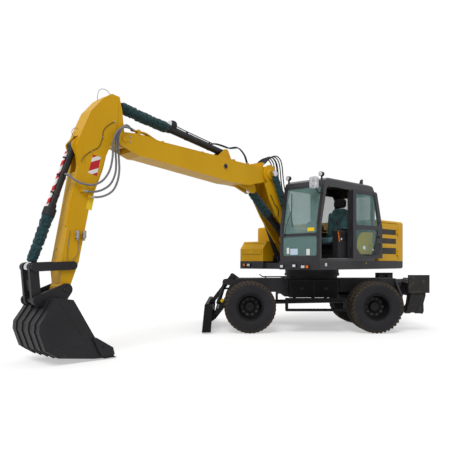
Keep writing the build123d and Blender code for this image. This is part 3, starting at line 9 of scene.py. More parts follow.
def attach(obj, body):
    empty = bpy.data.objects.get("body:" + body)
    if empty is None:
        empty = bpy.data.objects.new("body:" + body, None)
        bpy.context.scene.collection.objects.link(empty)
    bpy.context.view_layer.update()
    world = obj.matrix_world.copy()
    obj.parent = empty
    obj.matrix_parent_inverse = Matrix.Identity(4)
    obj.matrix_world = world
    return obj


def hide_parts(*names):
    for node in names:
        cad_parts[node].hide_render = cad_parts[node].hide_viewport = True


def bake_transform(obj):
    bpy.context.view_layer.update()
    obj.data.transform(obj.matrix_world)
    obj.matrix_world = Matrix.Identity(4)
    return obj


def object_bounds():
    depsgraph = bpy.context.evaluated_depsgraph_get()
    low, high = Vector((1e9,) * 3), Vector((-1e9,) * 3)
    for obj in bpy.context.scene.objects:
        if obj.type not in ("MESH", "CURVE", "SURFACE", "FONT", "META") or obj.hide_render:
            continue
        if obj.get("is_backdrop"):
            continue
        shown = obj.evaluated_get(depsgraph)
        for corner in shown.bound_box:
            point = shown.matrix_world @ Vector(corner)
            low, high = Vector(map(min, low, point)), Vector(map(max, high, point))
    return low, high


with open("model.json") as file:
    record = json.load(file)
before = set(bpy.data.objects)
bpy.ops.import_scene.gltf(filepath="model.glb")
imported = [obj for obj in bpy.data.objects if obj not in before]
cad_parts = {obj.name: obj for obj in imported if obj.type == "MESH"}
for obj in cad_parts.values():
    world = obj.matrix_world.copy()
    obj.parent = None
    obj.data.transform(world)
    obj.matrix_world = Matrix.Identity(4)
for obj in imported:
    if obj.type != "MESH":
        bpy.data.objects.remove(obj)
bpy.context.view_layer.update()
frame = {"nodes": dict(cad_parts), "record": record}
nodes = frame["nodes"]

# The undercarriage stands turned by 45 degrees, whose sine and cosine are the same
UNDER_TURN = -45
COS_45 = sqrt(0.5)
BOOM_Y = -0.145
# Faces of the upper carriage's side, of the stick and of its cheeks
SIDE_Y = 1.250
STICK_FACE, CHEEK_FACE = BOOM_Y + 0.150, BOOM_Y + 0.158
TYRE_R, TYRE_W = 0.525, 0.278
# Twin tyres: middle of a pair, and the distance between its two
TWIN_Y, TWIN_PITCH = 0.946, 0.330
AXLES = {"front": 1.42, "rear": -1.13}
SIDES = (("left", 1), ("right", -1))
# Cylinders: foot and eye (x, z), distance of the gland from the foot, y of each from the middle plane
RAMS = {
    "lift": ((0.610, 1.535), (1.516, 3.215), 1.210, (-0.330, 0.330)),
    "adjust": ((0.740, 1.930), (1.885, 2.890), 0.800, (0.0,)),
    "arm": ((2.640, 3.512), (5.065, 3.950), 1.420, (0.0,)),
    "bucket": ((5.770, 3.175), (6.443, 1.369), 1.070, (0.0,)),
}


def at(x, y, z, turn=0.0, axis="Z"):
    """A place as a matrix, turned by degrees about one axis."""
    return Matrix.Translation((x, y, z)) @ Matrix.Rotation(radians(turn), 4, axis)


def at_y(y, *points):
    """Points given as (x, z), all at one y."""
    return [(x, y, z) for x, z in points]


def under(x, y, z):
    """A point of the undercarriage, which stands turned 45 degrees below the upper part."""
    return Vector((COS_45 * (x + y), COS_45 * (y - x), z))


def under_at(x, y, z):
    """A place of the undercarriage as a matrix, turned with it."""
    return at(*under(x, y, z), UNDER_TURN)


def arm(x, z, y=0.0):
    """A point of the working arm, y from its middle plane."""
    return Vector((x, BOOM_Y + y, z))


def along(kind, s, y=0.0, lift=0.0):
    """A point at a distance from a cylinder's foot, y from its middle and lifted off its axis."""
    foot, eye = (arm(x, z, y) for x, z in RAMS[kind][:2])
    d = (eye - foot).normalized()
    return foot + d * s + Vector((-d.z, 0, d.x)) * lift


def bands(kind, places, half, *sizes, **off):
    """Short stretches of a cylinder round places along it, as rows of rods or collars."""
    return [(along(kind, s - half, **off), along(kind, s + half, **off), *sizes) for s in places]


# Materials
def colour(r, g, b):
    """Linear values of an sRGB colour given in 0 to 255."""
    out = []
    for v in (r, g, b):
        v = v / 255
        out.append(v / 12.92 if v <= 0.04045 else ((v + 0.055) / 1.055) ** 2.4)
    return (*out, 1.0)


def feed(tree, node, inputs):
    """Give inputs of a node their values, or links from the outputs of other nodes."""
    for name, value in inputs.items():
        if isinstance(value, bpy.types.NodeSocket):
            tree.links.new(value, node.inputs[name])
        else:
            node.inputs[name].default_value = value


def added(tree, kind, inputs, **settings):
    """A new node of a kind, with its settings and inputs."""
    node = tree.nodes.new(kind)
    for name, value in settings.items():
        setattr(node, name, value)
    feed(tree, node, inputs)
    return node


def maths(tree, operation, *values, clamp=False):
    """The result of an operation on values or outputs."""
    node = added(tree, "ShaderNodeMath", dict(enumerate(values)), operation=operation, use_clamp=clamp)
    return node.outputs["Value"]


def mixed(tree, factor, first, second):
    """The first colour where the factor is zero, the second where it is one."""
    node = added(tree, "ShaderNodeMix", {"Factor": factor, "A": first, "B": second}, data_type="RGBA")
    return node.outputs["Result"]


def raised(tree, height, strength, distance):
    """Add a bump to the shader's normal, on top of the one it has."""
    normal = tree.nodes["Principled BSDF"].inputs["Normal"]
    inputs = {"Height": height, "Strength": strength, "Distance": distance}
    for link in normal.links:
        inputs["Normal"] = link.from_socket
    tree.links.new(added(tree, "ShaderNodeBump", inputs).outputs["Normal"], normal)


TONE_STOPS = (0.3, 0.7)
# Where the film of dust begins in its noise, and how fast it closes
DUST_FROM, DUST_EDGE = 0.72, 0.16
GRAIN_HEIGHT = 0.004


def surface(name, light, dark, rough, metallic=0.0, scale=1.4, grain=60.0, bump=0.08, coat=0.0,
            dust=None, dust_amount=0.0, dust_scale=3.0, rough_spread=0.12, shine=0.25):
    """Paint or steel: broad tone changes, fine grain in bump and gloss, and a film of dust."""
    mat = bpy.data.materials.new(name)
    mat.use_nodes = True
    tree = mat.node_tree
    place = added(tree, "ShaderNodeTexCoord", {}).outputs["Object"]

    def noise_of(size, detail=5.0, rough_in=0.55):
        inputs = {"Scale": size, "Detail": detail, "Roughness": rough_in, "Vector": place}
        return added(tree, "ShaderNodeTexNoise", inputs).outputs["Fac"]

    def ramp_of(source, stops, shades):
        node = added(tree, "ShaderNodeValToRGB", {"Fac": source})
        for element, stop, shade in zip(node.color_ramp.elements, stops, shades):
            element.position = stop
            element.color = shade
        return node.outputs["Color"]

    tone = ramp_of(noise_of(scale), TONE_STOPS, (dark, light))
    if dust is not None:
        low = DUST_FROM - dust_amount * 0.5
        film = noise_of(dust_scale, 8.0, 0.7)
        mask = ramp_of(film, (low, low + DUST_EDGE), ((0, 0, 0, 1), (1, 1, 1, 1)))
        tone = mixed(tree, mask, tone, dust)
    fine = noise_of(grain, 3.0)
    glosses = [(r, r, r, 1) for r in (rough - rough_spread, min(1.0, rough + rough_spread))]
    feed(tree, tree.nodes["Principled BSDF"], {
        "Base Color": tone, "Roughness": ramp_of(fine, TONE_STOPS, glosses), "Metallic": metallic,
        "Coat Weight": coat, "Specular IOR Level": shine,
    })
    if bump:
        raised(tree, fine, bump, GRAIN_HEIGHT)
    return mat


def paint(name, light, dark, rough, dust=None, **how):
    """A surface whose colours are sRGB values in 0 to 255."""
    return surface(name, colour(*light), colour(*dark), rough, dust=dust and colour(*dust), **how)


def parts_of(mat):
    """A material's node tree, its shader and where a point lies in its object."""
    tree = mat.node_tree
    return tree, tree.nodes["Principled BSDF"], tree.nodes["Texture Coordinate"].outputs["Object"]


def fabric(name, light, dark, painted_fold_scale=26.0, film=0.0):
    """Woven cloth: light and dark tone at the scale of its folds, painted light on the folds and shade
    in the creases, a fine weave and a soft sheen, with a clear film over it if asked.
    """
    # Tone noise at the folds' scale: painted light and shade of creases
    mat = paint(name, light, dark, 0.85, scale=painted_fold_scale, grain=painted_fold_scale * 2.2, bump=0.35, rough_spread=0.08)
    tree, shader, place = parts_of(mat)
    thread = added(tree, "ShaderNodeTexWave", {"Scale": 420.0, "Distortion": 1.5, "Vector": place})
    raised(tree, thread.outputs["Fac"], 0.15, 0.001)
    feed(tree, shader, {"Sheen Weight": 0.25, "Sheen Roughness": 0.5, "Coat Weight": film,
                        "Coat Roughness": 0.25})
    return mat


def glass(name, tint, alpha):
    """Tinted panes with a slightly uneven gloss."""
    mat = paint(name, tint, tint, 0.05, bump=0.0, grain=3.0, rough_spread=0.02, shine=0.5)
    mat.node_tree.nodes["Principled BSDF"].inputs["Alpha"].default_value = alpha
    return mat


def dusted(mat, dirt, layer):
    """Lay a colour over a material where a mesh's own layer says so, broken up by noise."""
    tree, shader, place = parts_of(mat)
    marks = added(tree, "ShaderNodeAttribute", {}, attribute_name=layer)
    patchy = added(tree, "ShaderNodeTexNoise", {"Scale": 34.0, "Detail": 5.0, "Vector": place})
    patches = maths(tree, "MULTIPLY_ADD", patchy.outputs["Fac"], 2.2, -0.45)
    share = maths(tree, "MULTIPLY", marks.outputs["Fac"], patches, clamp=True)
    clean = shader.inputs["Base Color"].links[0].from_socket
    feed(tree, shader, {"Base Color": mixed(tree, share, clean, colour(*dirt))})


def striped(name, first, second, period, share, direction, middle):
    """Slanting warning stripes: the first colour fills its share of a period, centred on a point."""
    mat = paint(name, first, first, 0.35, grain=90.0, bump=0.03)
    tree, shader, place = parts_of(mat)
    way = Vector(direction).normalized() / period
    dot = added(tree, "ShaderNodeVectorMath", {0: place, 1: way}, operation="DOT_PRODUCT")
    shifted = maths(tree, "ADD", dot.outputs["Value"], share / 2 - way.dot(Vector(middle)))
    step = maths(tree, "GREATER_THAN", maths(tree, "FRACT", shifted), share)
    feed(tree, shader, {"Base Color": mixed(tree, step, colour(*first), colour(*second))})
    return mat


YELLOW = paint("yellow_paint_look", (212, 162, 18), (200, 151, 12), 0.42, scale=0.9,
               bump=0.02, rough_spread=0.06, shine=0.16)
CHARCOAL = paint("dark_paint_look", (46, 44, 47), (34, 32, 35), 0.5, scale=2.2,
                 dust=(70, 64, 58), dust_amount=0.25)
STEEL = paint("black_steel_look", (33, 32, 35), (23, 22, 25), 0.48, scale=2.0,
              dust=(60, 55, 50), dust_amount=0.2, dust_scale=5.0)
CAB = paint("cab_paint_look", (45, 44, 49), (36, 35, 39), 0.38, coat=0.15, scale=1.2, bump=0.02)
CHROME = paint("chrome_look", (200, 200, 205), (180, 180, 186), 0.12, metallic=1.0,
               bump=0.0, rough_spread=0.04)
RUBBER = paint("tyre_look", (34, 34, 37), (24, 24, 26), 0.78, scale=3.0, bump=0.2)
dusted(RUBBER, (80, 65, 46), "dust")
RIM = paint("rim_look", (27, 26, 28), (17, 16, 18), 0.5, scale=5.0,
            dust=(56, 48, 40), dust_amount=0.2, dust_scale=8.0, shine=0.15)
IRON = paint("iron_look", (80, 78, 78), (60, 58, 58), 0.7)
TRIM = paint("trim_look", (34, 34, 36), (26, 26, 28), 0.6, grain=180.0, bump=0.15)
HOSE = paint("hose_look", (30, 30, 33), (22, 22, 24), 0.5, grain=200.0)
SPIRAL = paint("spiral_look", (132, 132, 136), (104, 104, 108), 0.5, grain=150.0)
ZINC = paint("zinc_look", (176, 176, 176), (140, 140, 142), 0.35, metallic=0.8)
WHITE = paint("white_look", (232, 232, 228), (214, 214, 212), 0.4)
LENS = paint("lens_look", (222, 224, 228), (196, 200, 206), 0.12, coat=0.4, grain=40.0,
             rough_spread=0.04)
PALE_BLUE = paint("pale_blue_look", (196, 214, 232), (184, 204, 224), 0.4)
GREY = paint("grey_trim_look", (104, 106, 110), (88, 90, 94), 0.55, grain=160.0, bump=0.1)
MESH = paint("mesh_look", (20, 20, 22), (12, 12, 14), 0.7, grain=260.0, bump=0.3)
GRILLE = paint("grille_look", (66, 62, 58), (46, 44, 42), 0.75, scale=4.0, grain=420.0, bump=0.6)
ORANGE = paint("orange_look", (240, 130, 20), (226, 112, 16), 0.3)
# Cloth of the sleeves and the seat: their lighter and darker tones are painted light and shade of folds
SLEEVE = fabric("sleeve_look", (30, 72, 76), (8, 30, 34))
SEAT = fabric("seat_look", (82, 122, 126), (38, 70, 76), painted_fold_scale=9.0, film=0.5)
WINDOW = glass("window_look", (120, 157, 155), 0.40)
DOOR_WINDOW = glass("door_window_look", (96, 138, 132), 0.24)
MIRROR_LOOK = paint("mirror_shell_look", (226, 228, 230), (128, 132, 138), 0.25, scale=11.0, bump=0.02)
PLATE = paint("plate_look", (236, 200, 30), (226, 188, 24), 0.4)
RED = (190, 30, 40)
TAIL_RED = paint("tail_lamp_look", RED, (160, 20, 28), 0.25)
CHEVRON = striped("chevron_look", RED, (228, 226, 224), 0.172, 0.67, (0.36, 0.0, 0.93),
                  (5.497, 0.0, 2.903))
BAND = striped("band_look", RED, (228, 226, 224), 0.110, 0.46, (0.60, 0.0, 0.80), (5.900, 0.0, 2.800))
WORN = paint("worn_steel_look", (40, 38, 38), (28, 27, 28), 0.6, scale=2.0,
             dust=(84, 70, 45), dust_amount=0.33, dust_scale=9.0)
# A darker, less shiny copy of the black steel for the blade, the side steps and the front tread: its
# darker colour is painted shade
SHADED_MATT_STEEL = paint("shaded_matt_steel_look", (25, 24, 26), (17, 16, 18), 0.62, scale=2.0,
             dust=(48, 44, 40), dust_amount=0.2, dust_scale=5.0, shine=0.1)
PANEL = paint("panel_look", (226, 200, 0), (216, 190, 0), 0.4, shine=0.16)
# Each slot's material, and the others that stand for it on the pieces made here
LOOKS = {
    "yellow_paint": [YELLOW, PLATE, PANEL, CHEVRON], "dark_paint": [CHARCOAL],
    "black_steel": [STEEL, WORN, SHADED_MATT_STEEL, BAND], "cab_paint": [CAB, WHITE, PALE_BLUE],
    "chrome_rod": [CHROME, ZINC], "tyre_rubber": [RUBBER], "rim_paint": [RIM],
    "window_glass": [WINDOW], "seat_cloth": [SEAT], "engine_iron": [IRON],
    "trim_plastic": [TRIM, LENS, ORANGE, GREY, MESH, GRILLE, MIRROR_LOOK, TAIL_RED],
    "hose_rubber": [HOSE, SPIRAL],
}
# Nodes that wear another material than their slot's; the blade and side steps wear black steel darkened
# with painted shade
OWN_LOOKS = {"stabiliser_left": WORN, "stabiliser_right": WORN, "blade": SHADED_MATT_STEEL, "side_steps": SHADED_MATT_STEEL,
             "door_glass": DOOR_WINDOW}
for row in frame["record"]["subparts"]:
    data = nodes[row["node"]].data
    data.materials.clear()
    data.materials.append(OWN_LOOKS.get(row["node"], LOOKS[row["material_slot"]][0]))


# Shapes
def placed(name, data):
    """A new object for some data, linked into the scene."""
    obj = bpy.data.objects.new(name, data)
    bpy.context.scene.collection.objects.link(obj)
    return obj


def closed(name, bm, mat):
    """Turn a finished bmesh into a smooth object with one material."""
    mesh = bpy.data.meshes.new(name)
    bm.to_mesh(mesh)
    bm.free()
    mesh.materials.append(mat)
    mesh.polygons.foreach_set("use_smooth", [True] * len(mesh.polygons))
    return placed(name, mesh)


def thing(name, bm, mat, body, smooth_angle=35.0):
    """An object with one material that rides on one body."""
    obj = closed(name, bm, mat)
    if smooth_angle < 180:
        obj.data.set_sharp_from_angle(angle=radians(smooth_angle))
    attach(obj, body)
    return obj


def boxes(name, parts, mat, body, bevel=0.004, segments=2):
    """Bevelled blocks joined in one mesh, each given as (matrix, half sizes)."""
    bm = bmesh.new()
    for place, half in parts:
        made = bmesh.ops.create_cube(bm, size=2.0)
        bmesh.ops.scale(bm, vec=half, verts=made["verts"])
        edges = list({e for v in made["verts"] for e in v.link_edges})
        wide = min(bevel, 0.9 * min(half))
        done = bmesh.ops.bevel(bm, geom=edges, offset=wide, segments=segments, affect="EDGES")
        verts = {v for f in done["faces"] for v in f.verts}
        verts |= {v for v in made["verts"] if v.is_valid}
        bmesh.ops.transform(bm, matrix=place, verts=list(verts))
    return thing(name, bm, mat, body)


def ring(bm, centre, side, up, radii):
    """Vertices round a centre, one for each radius, turning from side to up."""
    made = []
    for k, r in enumerate(radii):
        a = 2 * pi * k / len(radii)
        made.append(bm.verts.new(centre + (side * cos(a) + up * sin(a)) * r))
    return made


def bridge(bm, rings, capped=False, looped=False):
    """Faces between neighbouring rings; if asked, both ends are capped or joined to each other."""
    for low, high in zip(rings, rings[1:] + (rings[:1] if looped else [])):
        for k in range(len(low)):
            after = (k + 1) % len(low)
            bm.faces.new((low[k], low[after], high[after], high[k]))
    if capped:
        bm.faces.new(list(reversed(rings[0])))
        bm.faces.new(rings[-1])


def turned(bm, start, end, profile, sides):
    """Rings on the line from start to end, each given as (distance from the start, radius)."""
    ahead = (Vector(end) - Vector(start)).normalized()
    side = ahead.orthogonal().normalized()
    up = ahead.cross(side)
    return [ring(bm, Vector(start) + ahead * s, side, up, [r] * sides) for s, r in profile]


def rods(name, rows, mat, body):
    """Straight chamfered rods, each given as (start, end, radius, sides)."""
    bm = bmesh.new()
    for start, end, radius, sides in rows:
        full = (Vector(end) - Vector(start)).length
        cut = min(0.12 * radius, 0.3 * full)
        profile = ((0.0, radius - cut), (cut, radius), (full - cut, radius), (full, radius - cut))
        bridge(bm, turned(bm, start, end, profile, sides), capped=True)
    return thing(name, bm, mat, body, 40.0)


def collars(name, rows, mat, body, sides=40):
    """Rings with chamfered outer edges, each given as (start, end, inner radius, outer radius)."""
    bm = bmesh.new()
    for start, end, inner, outer in rows:
        full = (Vector(end) - Vector(start)).length
        cut = 0.25 * (outer - inner)
        profile = ((0.0, inner), (0.0, outer - cut), (cut, outer), (full - cut, outer),
                   (full, outer - cut), (full, inner))
        bridge(bm, turned(bm, start, end, profile, sides), looped=True)
    return thing(name, bm, mat, body)


def nuts(name, places, size, height, mat, body):
    """Hexagon nuts with chamfered tops and a washer, each given as (point, axis)."""
    bm = bmesh.new()
    nut = ((size, 0.0), (size, height * 0.8), (size * 0.82, height))
    washer = ((size * 1.35, 0.0), (size * 1.35, height * 0.15), (size * 0.9, height * 0.15))
    for n, (point, axis) in enumerate(places):
        turn = Vector(axis).to_track_quat("Z", "Y").to_matrix()
        for profile, sides, spin in ((nut, 6, n * 0.7), (washer, 12, 0.0)):
            side, up, out = (turn @ Matrix.Rotation(spin, 3, "Z")).col
            rings = [ring(bm, Vector(point) + out * z, side, up, [r] * sides) for r, z in profile]
            bridge(bm, rings)
            if profile is nut:
                bm.faces.new(rings[-1])
    return thing(name, bm, mat, body, smooth_angle=25.0)


# Spiral guards: length of one turn, and the share of it that the band covers
GUARD_PITCH, GUARD_SHARE = 0.026, 0.66


def smooth_path(points, step):
    """Points a step apart on one smooth line through a few chosen points."""
    pts = [Vector(p) for p in points]
    ends = [2 * pts[0] - pts[1], *pts, 2 * pts[-1] - pts[-2]]
    out = []
    for a, b, c, d in zip(ends, ends[1:], ends[2:], ends[3:]):
        count = max(1, int((c - b).length / step))
        for k in range(count):
            t = k / count
            out.append(0.5 * (2 * b + (c - a) * t + (2 * a - 5 * b + 4 * c - d) * t * t
                              + (3 * b - a - 3 * c + d) * t ** 3))
    out.append(pts[-1])
    return out


def tube(bm, points, radius, sides=10, step=0.02, wrap=0.0):
    """A round run along a smooth line; wrap raises a spiral guard on it."""
    path = smooth_path(points, step)
    side = None
    rings = []
    gone = 0.0
    for n, p in enumerate(path):
        ahead = (path[min(n + 1, len(path) - 1)] - path[max(n - 1, 0)]).normalized()
        if side is None:
            side = ahead.orthogonal()
        side = (side - ahead * side.dot(ahead)).normalized()
        if n:
            gone += (p - path[n - 1]).length
        guarded = [(k / sides + gone / GUARD_PITCH) % 1.0 < GUARD_SHARE for k in range(sides)]
        rings.append(ring(bm, p, side, ahead.cross(side), [radius + wrap * on for on in guarded]))
    bridge(bm, rings, capped=True)


def tubes(lines, radius, **shape):
    """A bmesh of hoses or pipes, one for each list of points."""
    bm = bmesh.new()
    for points in lines:
        tube(bm, points, radius, **shape)
    return bm


def runs(name, lines, radius, mat, body, slot=None, **shape):
    """Hoses or pipes in one mesh that rides on a body."""
    return thing(name, tubes(lines, radius, **shape), mat, body, 60.0)


def plates(name, rows, mat, body, edge=0.0008):
    """Thin flat plates with softened edges, each from its corners and the way it is thick."""
    bm = bmesh.new()
    for corners, thick in rows:
        low = [bm.verts.new(Vector(c)) for c in corners]
        high = [bm.verts.new(Vector(c) + Vector(thick)) for c in corners]
        count = len(corners)
        faces = [bm.faces.new(low), bm.faces.new(list(reversed(high)))]
        for k in range(count):
            faces.append(bm.faces.new((low[k], high[k], high[(k + 1) % count], low[(k + 1) % count])))
        bmesh.ops.recalc_face_normals(bm, faces=faces)
        edges = list({e for f in faces for e in f.edges})
        bmesh.ops.bevel(bm, geom=edges, offset=edge, segments=1, affect="EDGES")
    return thing(name, bm, mat, body)


def cushion(name, rows, mat, body, power=5.0, cuts=14, crumple=0.0):
    """Stuffed forms with crowned faces, each given as (matrix, half sizes)."""
    bm = bmesh.new()
    for place, half in rows:
        form = bmesh.new()
        bmesh.ops.create_cube(form, size=2.0)
        bmesh.ops.subdivide_edges(form, edges=list(form.edges), cuts=cuts, use_grid_fill=True)
        for v in form.verts:
            q = v.co / sum(abs(c) ** power for c in v.co) ** (1 / power)
            q = Vector((q.x * half[0], q.y * half[1], q.z * half[2]))
            if crumple:
                q *= 1.0 + crumple * noise.fractal(q * 11.0 + Vector(half) * 7, 0.9, 2.1, 4)
            v.co = place @ q
        part = bpy.data.meshes.new(name)
        form.to_mesh(part)
        form.free()
        bm.from_mesh(part)
        bpy.data.meshes.remove(part)
    return thing(name, bm, mat, body, 180.0)


# Tyres with chunky directional lugs
HALF_PROFILE = [
    (0.095, 0.264), (0.118, 0.282), (0.131, 0.315), (0.137, 0.360), (0.138, 0.400),
    (0.135, 0.438), (0.131, 0.462), (0.126, 0.482), (0.120, 0.496), (0.104, 0.503),
    (0.080, 0.504), (0.050, 0.504), (0.022, 0.505), (0.004, 0.505),
]
LUGS = 38
LUG_DEPTH, SHOULDER_CUT = 0.0195, 0.017
# Radius at which the lugs begin, how far they reach in y, how steep they rise, and steps for each
LUG_FROM, LUG_REACH, LUG_EDGE, LUG_STEPS = 0.455, 0.13, 0.07, 9


def lug_height(angle, y):
    """How far a lug stands out, from 0 to 1, at an angle and a place across the tread."""
    side = 0.5 if y > 0 else 0.0
    phase = (angle * LUGS / (2 * pi) + side + 0.8 * (LUG_REACH - abs(y)) / LUG_REACH) % 1.0
    wide = 0.60 if abs(y) > 0.05 else 0.5
    rise = min(max((phase - 0.02) / LUG_EDGE, 0.0), 1.0)
    fall = min(max((wide - phase) / LUG_EDGE, 0.0), 1.0)
    return min(rise, fall)


def tyre(bm, centre, dust):
    """A tyre round a centre, with its dirt written to a layer of the vertices."""
    around = LUGS * LUG_STEPS
    outline = HALF_PROFILE + [(-y, r) for y, r in reversed(HALF_PROFILE)]
    grid = []
    for k in range(around):
        angle = 2 * pi * k / around
        row = []
        for y, r in outline:
            radius, wide, dirt = r, y, 0.0
            if r > LUG_FROM:
                share = min(1.0, (r - LUG_FROM) / 0.03)
                high = lug_height(angle, y)
                outer = min(1.0, max(0.0, (abs(y) - 0.06) / 0.05))
                radius += share * (LUG_DEPTH * high - SHOULDER_CUT * outer * (1.0 - high))
                wide *= 1.0 + 0.03 * share * outer * (high - 1.0)
                dirt = share * (0.95 - 0.55 * high)
            wide = max(-TYRE_W / 2, min(TYRE_W / 2, wide))
            place = under(radius * cos(angle), wide, radius * sin(angle))
            row.append(bm.verts.new(centre + place))
            row[-1][dust] = dirt
        grid.append(row)
    for k in range(around):
        a, b = grid[k], grid[(k + 1) % around]
        for n in range(len(outline) - 1):
            bm.faces.new((a[n], a[n + 1], b[n + 1], b[n]))


for end, x in AXLES.items():
    for side, sign in SIDES:
        bm = bmesh.new()
        layer = bm.verts.layers.float.new("dust")
        for y in (TWIN_Y - TWIN_PITCH / 2, TWIN_Y + TWIN_PITCH / 2):
            tyre(bm, under(x, sign * y, TYRE_R), layer)
        bmesh.ops.recalc_face_normals(bm, faces=bm.faces)
        made = thing(f"tread_{end}_{side}", bm, RUBBER, f"wheel_{end}_{side}", smooth_angle=40.0)
        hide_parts(f"tyres_{end}_{side}")

# Fabric sleeves on the piston rods: radius at the barrel and at the eye, and the rod left bare there
SLEEVES = {"lift": (0.070, 0.064, 0.05), "adjust": (0.092, 0.080, 0.07),
           "arm": (0.090, 0.090, 0.13), "bucket": (0.086, 0.070, 0.07)}
# Where a sleeve is tied, as shares of its length, and the size of its faces
TIES = (0.36, 0.68)
SLEEVE_STEP, SLEEVE_SIDES = 0.011, 56


def sleeve(name, start, end, r_start, r_end, sag, seed):
    """A gathered cloth tube between two points, creased by noise and hanging a little in the middle."""
    length = (end - start).length
    axis = (end - start).normalized()
    side = Vector((0, 1, 0))
    up = side.cross(axis).normalized()
    if up.z < 0:
        up = -up
    rows = int(length / SLEEVE_STEP)
    bm = bmesh.new()
    rings = []
    for i in range(rows + 1):
        t = i / rows
        base = start + axis * (length * t) - Vector((0, 0, sag * sin(pi * t)))
        taper = min(1.0, t / 0.05, (1 - t) / 0.05)
        r = (r_start * (1 - t) + r_end * t) * (0.72 + 0.28 * sqrt(taper))
        for tie in TIES:
            r *= 1.0 - 0.16 * exp(-((t - tie) / 0.018) ** 2)
        radii = []
        for k in range(SLEEVE_SIDES):
            a = 2 * pi * k / SLEEVE_SIDES
            q = Vector((cos(a) * 2.2, sin(a) * 2.2, t * length * 17 + seed))
            crease = noise.fractal(q * 1.3, 0.9, 2.1, 4)
            ripple = sin(t * length * 62 + 2.1 * sin(a + seed) + 3.0 * crease)
            radii.append(r * (1.0 + 0.14 * crease + 0.055 * ripple * taper))
        rings.append(ring(bm, base, side, up, radii))
    bridge(bm, rings)
    area = sum(f.calc_area() for f in bm.faces)
    obj = closed(name, bm, SLEEVE)
    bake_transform(obj)


for kind, (foot, eye, gland, offsets) in RAMS.items():
    r_start, r_end, bare = SLEEVES[kind]
    for n, y in enumerate(offsets):
        a, b = arm(*foot, y), arm(*eye, y)
        d = (b - a).normalized()
        sleeve(f"{kind}_sleeve_{n}", a + d * (gland - 0.05), a + d * ((b - a).length - bare), r_start,
               r_end, sag=0.012 if kind == "arm" else 0.004, seed=3.1 * n + gland)


def fitting(line, nut_long=0.030, nut_r=0.0185, full_long=0.070, ferrule_r=0.0170):
    """Rods for a hexagon nut and a round ferrule on the end where a hose's line begins."""
    a = Vector(line[0])
    d = (Vector(line[1]) - a).normalized()
    nut = (a, a + d * nut_long, nut_r, 6)
    return [nut, (a + d * (nut_long - 0.002), a + d * full_long, ferrule_r, 16)]


# Hoses from the upper boom down past the stick, in grey spiral guards
STICK_HOSES = [
    [(4.80, .032, 3.548), (4.90, .060, 3.560), (5.04, .100, 3.540), (5.175, .125, 3.440),
     (5.245, .130, 3.270), (5.258, .130, 3.040), (5.310, .128, 2.830), (5.420, .115, 2.670),
     (5.570, .100, 2.590), (5.710, .080, 2.590), (5.840, .060, 2.630), (5.925, .020, 2.700),
     (5.938, -.060, 2.725)],
    [(4.80, .004, 3.548), (4.89, .040, 3.572), (5.01, .085, 3.560), (5.115, .108, 3.475),
     (5.175, .110, 3.340), (5.190, .108, 3.150), (5.178, .106, 2.960), (5.195, .102, 2.790),
     (5.275, .095, 2.630), (5.410, .072, 2.530), (5.560, .048, 2.490), (5.70, .034, 2.500)],
    [(4.80, -.024, 3.548), (4.87, .010, 3.592), (4.97, .060, 3.592), (5.06, .082, 3.520),
     (5.118, .086, 3.400), (5.128, .086, 3.230), (5.115, .086, 3.040), (5.108, .086, 2.860),
     (5.140, .085, 2.690), (5.215, .080, 2.545), (5.330, .065, 2.460), (5.460, .048, 2.420),
     (5.58, .034, 2.415)],
]
bm = tubes(STICK_HOSES, 0.0140, sides=12, step=0.0045, wrap=0.0026)
guards = closed("stick_hose_guards", bm, SPIRAL)
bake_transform(guards)
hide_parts("stick_hoses")
outer, middle, inner = STICK_HOSES
# Only the outer hose's end shows: the stick's crown swings past the other two
rods("hose_ends_boom", fitting(outer, 0.018, 0.0150, 0.036, 0.0165), ZINC, "upper_boom")
rods("hose_ends_stick", fitting(middle[::-1]) + fitting(inner[::-1]), ZINC, "stick")
rods("hose_ends_cylinder", fitting(outer[::-1]), ZINC, "bucket_barrel")

# The black bundle behind the base boom
REAR_ROUTE = [
    (1.640, 3.405), (1.560, 3.440), (1.450, 3.530), (1.320, 3.600), (1.190, 3.610), (1.085, 3.535),
    (1.035, 3.390), (1.010, 3.200), (.965, 2.990), (.890, 2.770), (.795, 2.560), (.725, 2.380),
    (.665, 2.240), (.640, 2.120),
]
BUNDLE_Y = (-.125, -.075, -.025, .025, .075, .125)
BUNDLE_FITTING = (0.026, 0.019, 0.062, 0.0155)
lines = []
tops = []
feet = []
for n, y in enumerate(BUNDLE_Y):
    line = []
    for k, (x, z) in enumerate(REAR_ROUTE):
        bow = 0.014 * (n % 3) * sin(pi * k / (len(REAR_ROUTE) - 1))
        line.append(arm(x - bow, z + bow, y))
    lines.append(line)
    tops += fitting([line[0], arm(1.560, 3.440, y)], *BUNDLE_FITTING)
    feet += fitting([arm(.640, 2.1205, y), arm(.665, 2.240, y)], *BUNDLE_FITTING)
bundle = closed("rear_bundle", tubes(lines, 0.0118, sides=12, step=0.02), HOSE)
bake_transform(bundle)
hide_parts("boom_hoses")
rods("bundle_ends", tops, ZINC, "upper_boom")
rods("bundle_feet", feet, ZINC, "base_boom")

# Grease line on the stick's side with its fittings, and the bolts that lock the pins
SIDE_LINE = at_y(CHEEK_FACE + 0.0055, (5.155, 3.620), (5.211, 3.583), (5.299, 3.513), (5.352, 3.433),
                 (5.365, 3.332), (5.431, 3.185), (5.558, 3.105), (5.673, 3.010), (5.725, 2.930))
runs("stick_grease_lines", [SIDE_LINE], 0.0042, HOSE, "stick", sides=8, step=0.015)
rods("stick_fittings", [((x, CHEEK_FACE, z), (x, CHEEK_FACE + 0.016, z), 0.011, 6)
                        for x, z in ((5.155, 3.620), (5.362, 3.345), (5.558, 3.105))], ZINC, "stick")
nuts("stick_pin_bolts", [((x, BOOM_Y + 0.1005, z), (0, 1, 0))
                         for x, z in ((5.738, 3.250), (5.035, 3.905))], 0.012, 0.010, ZINC, "stick")

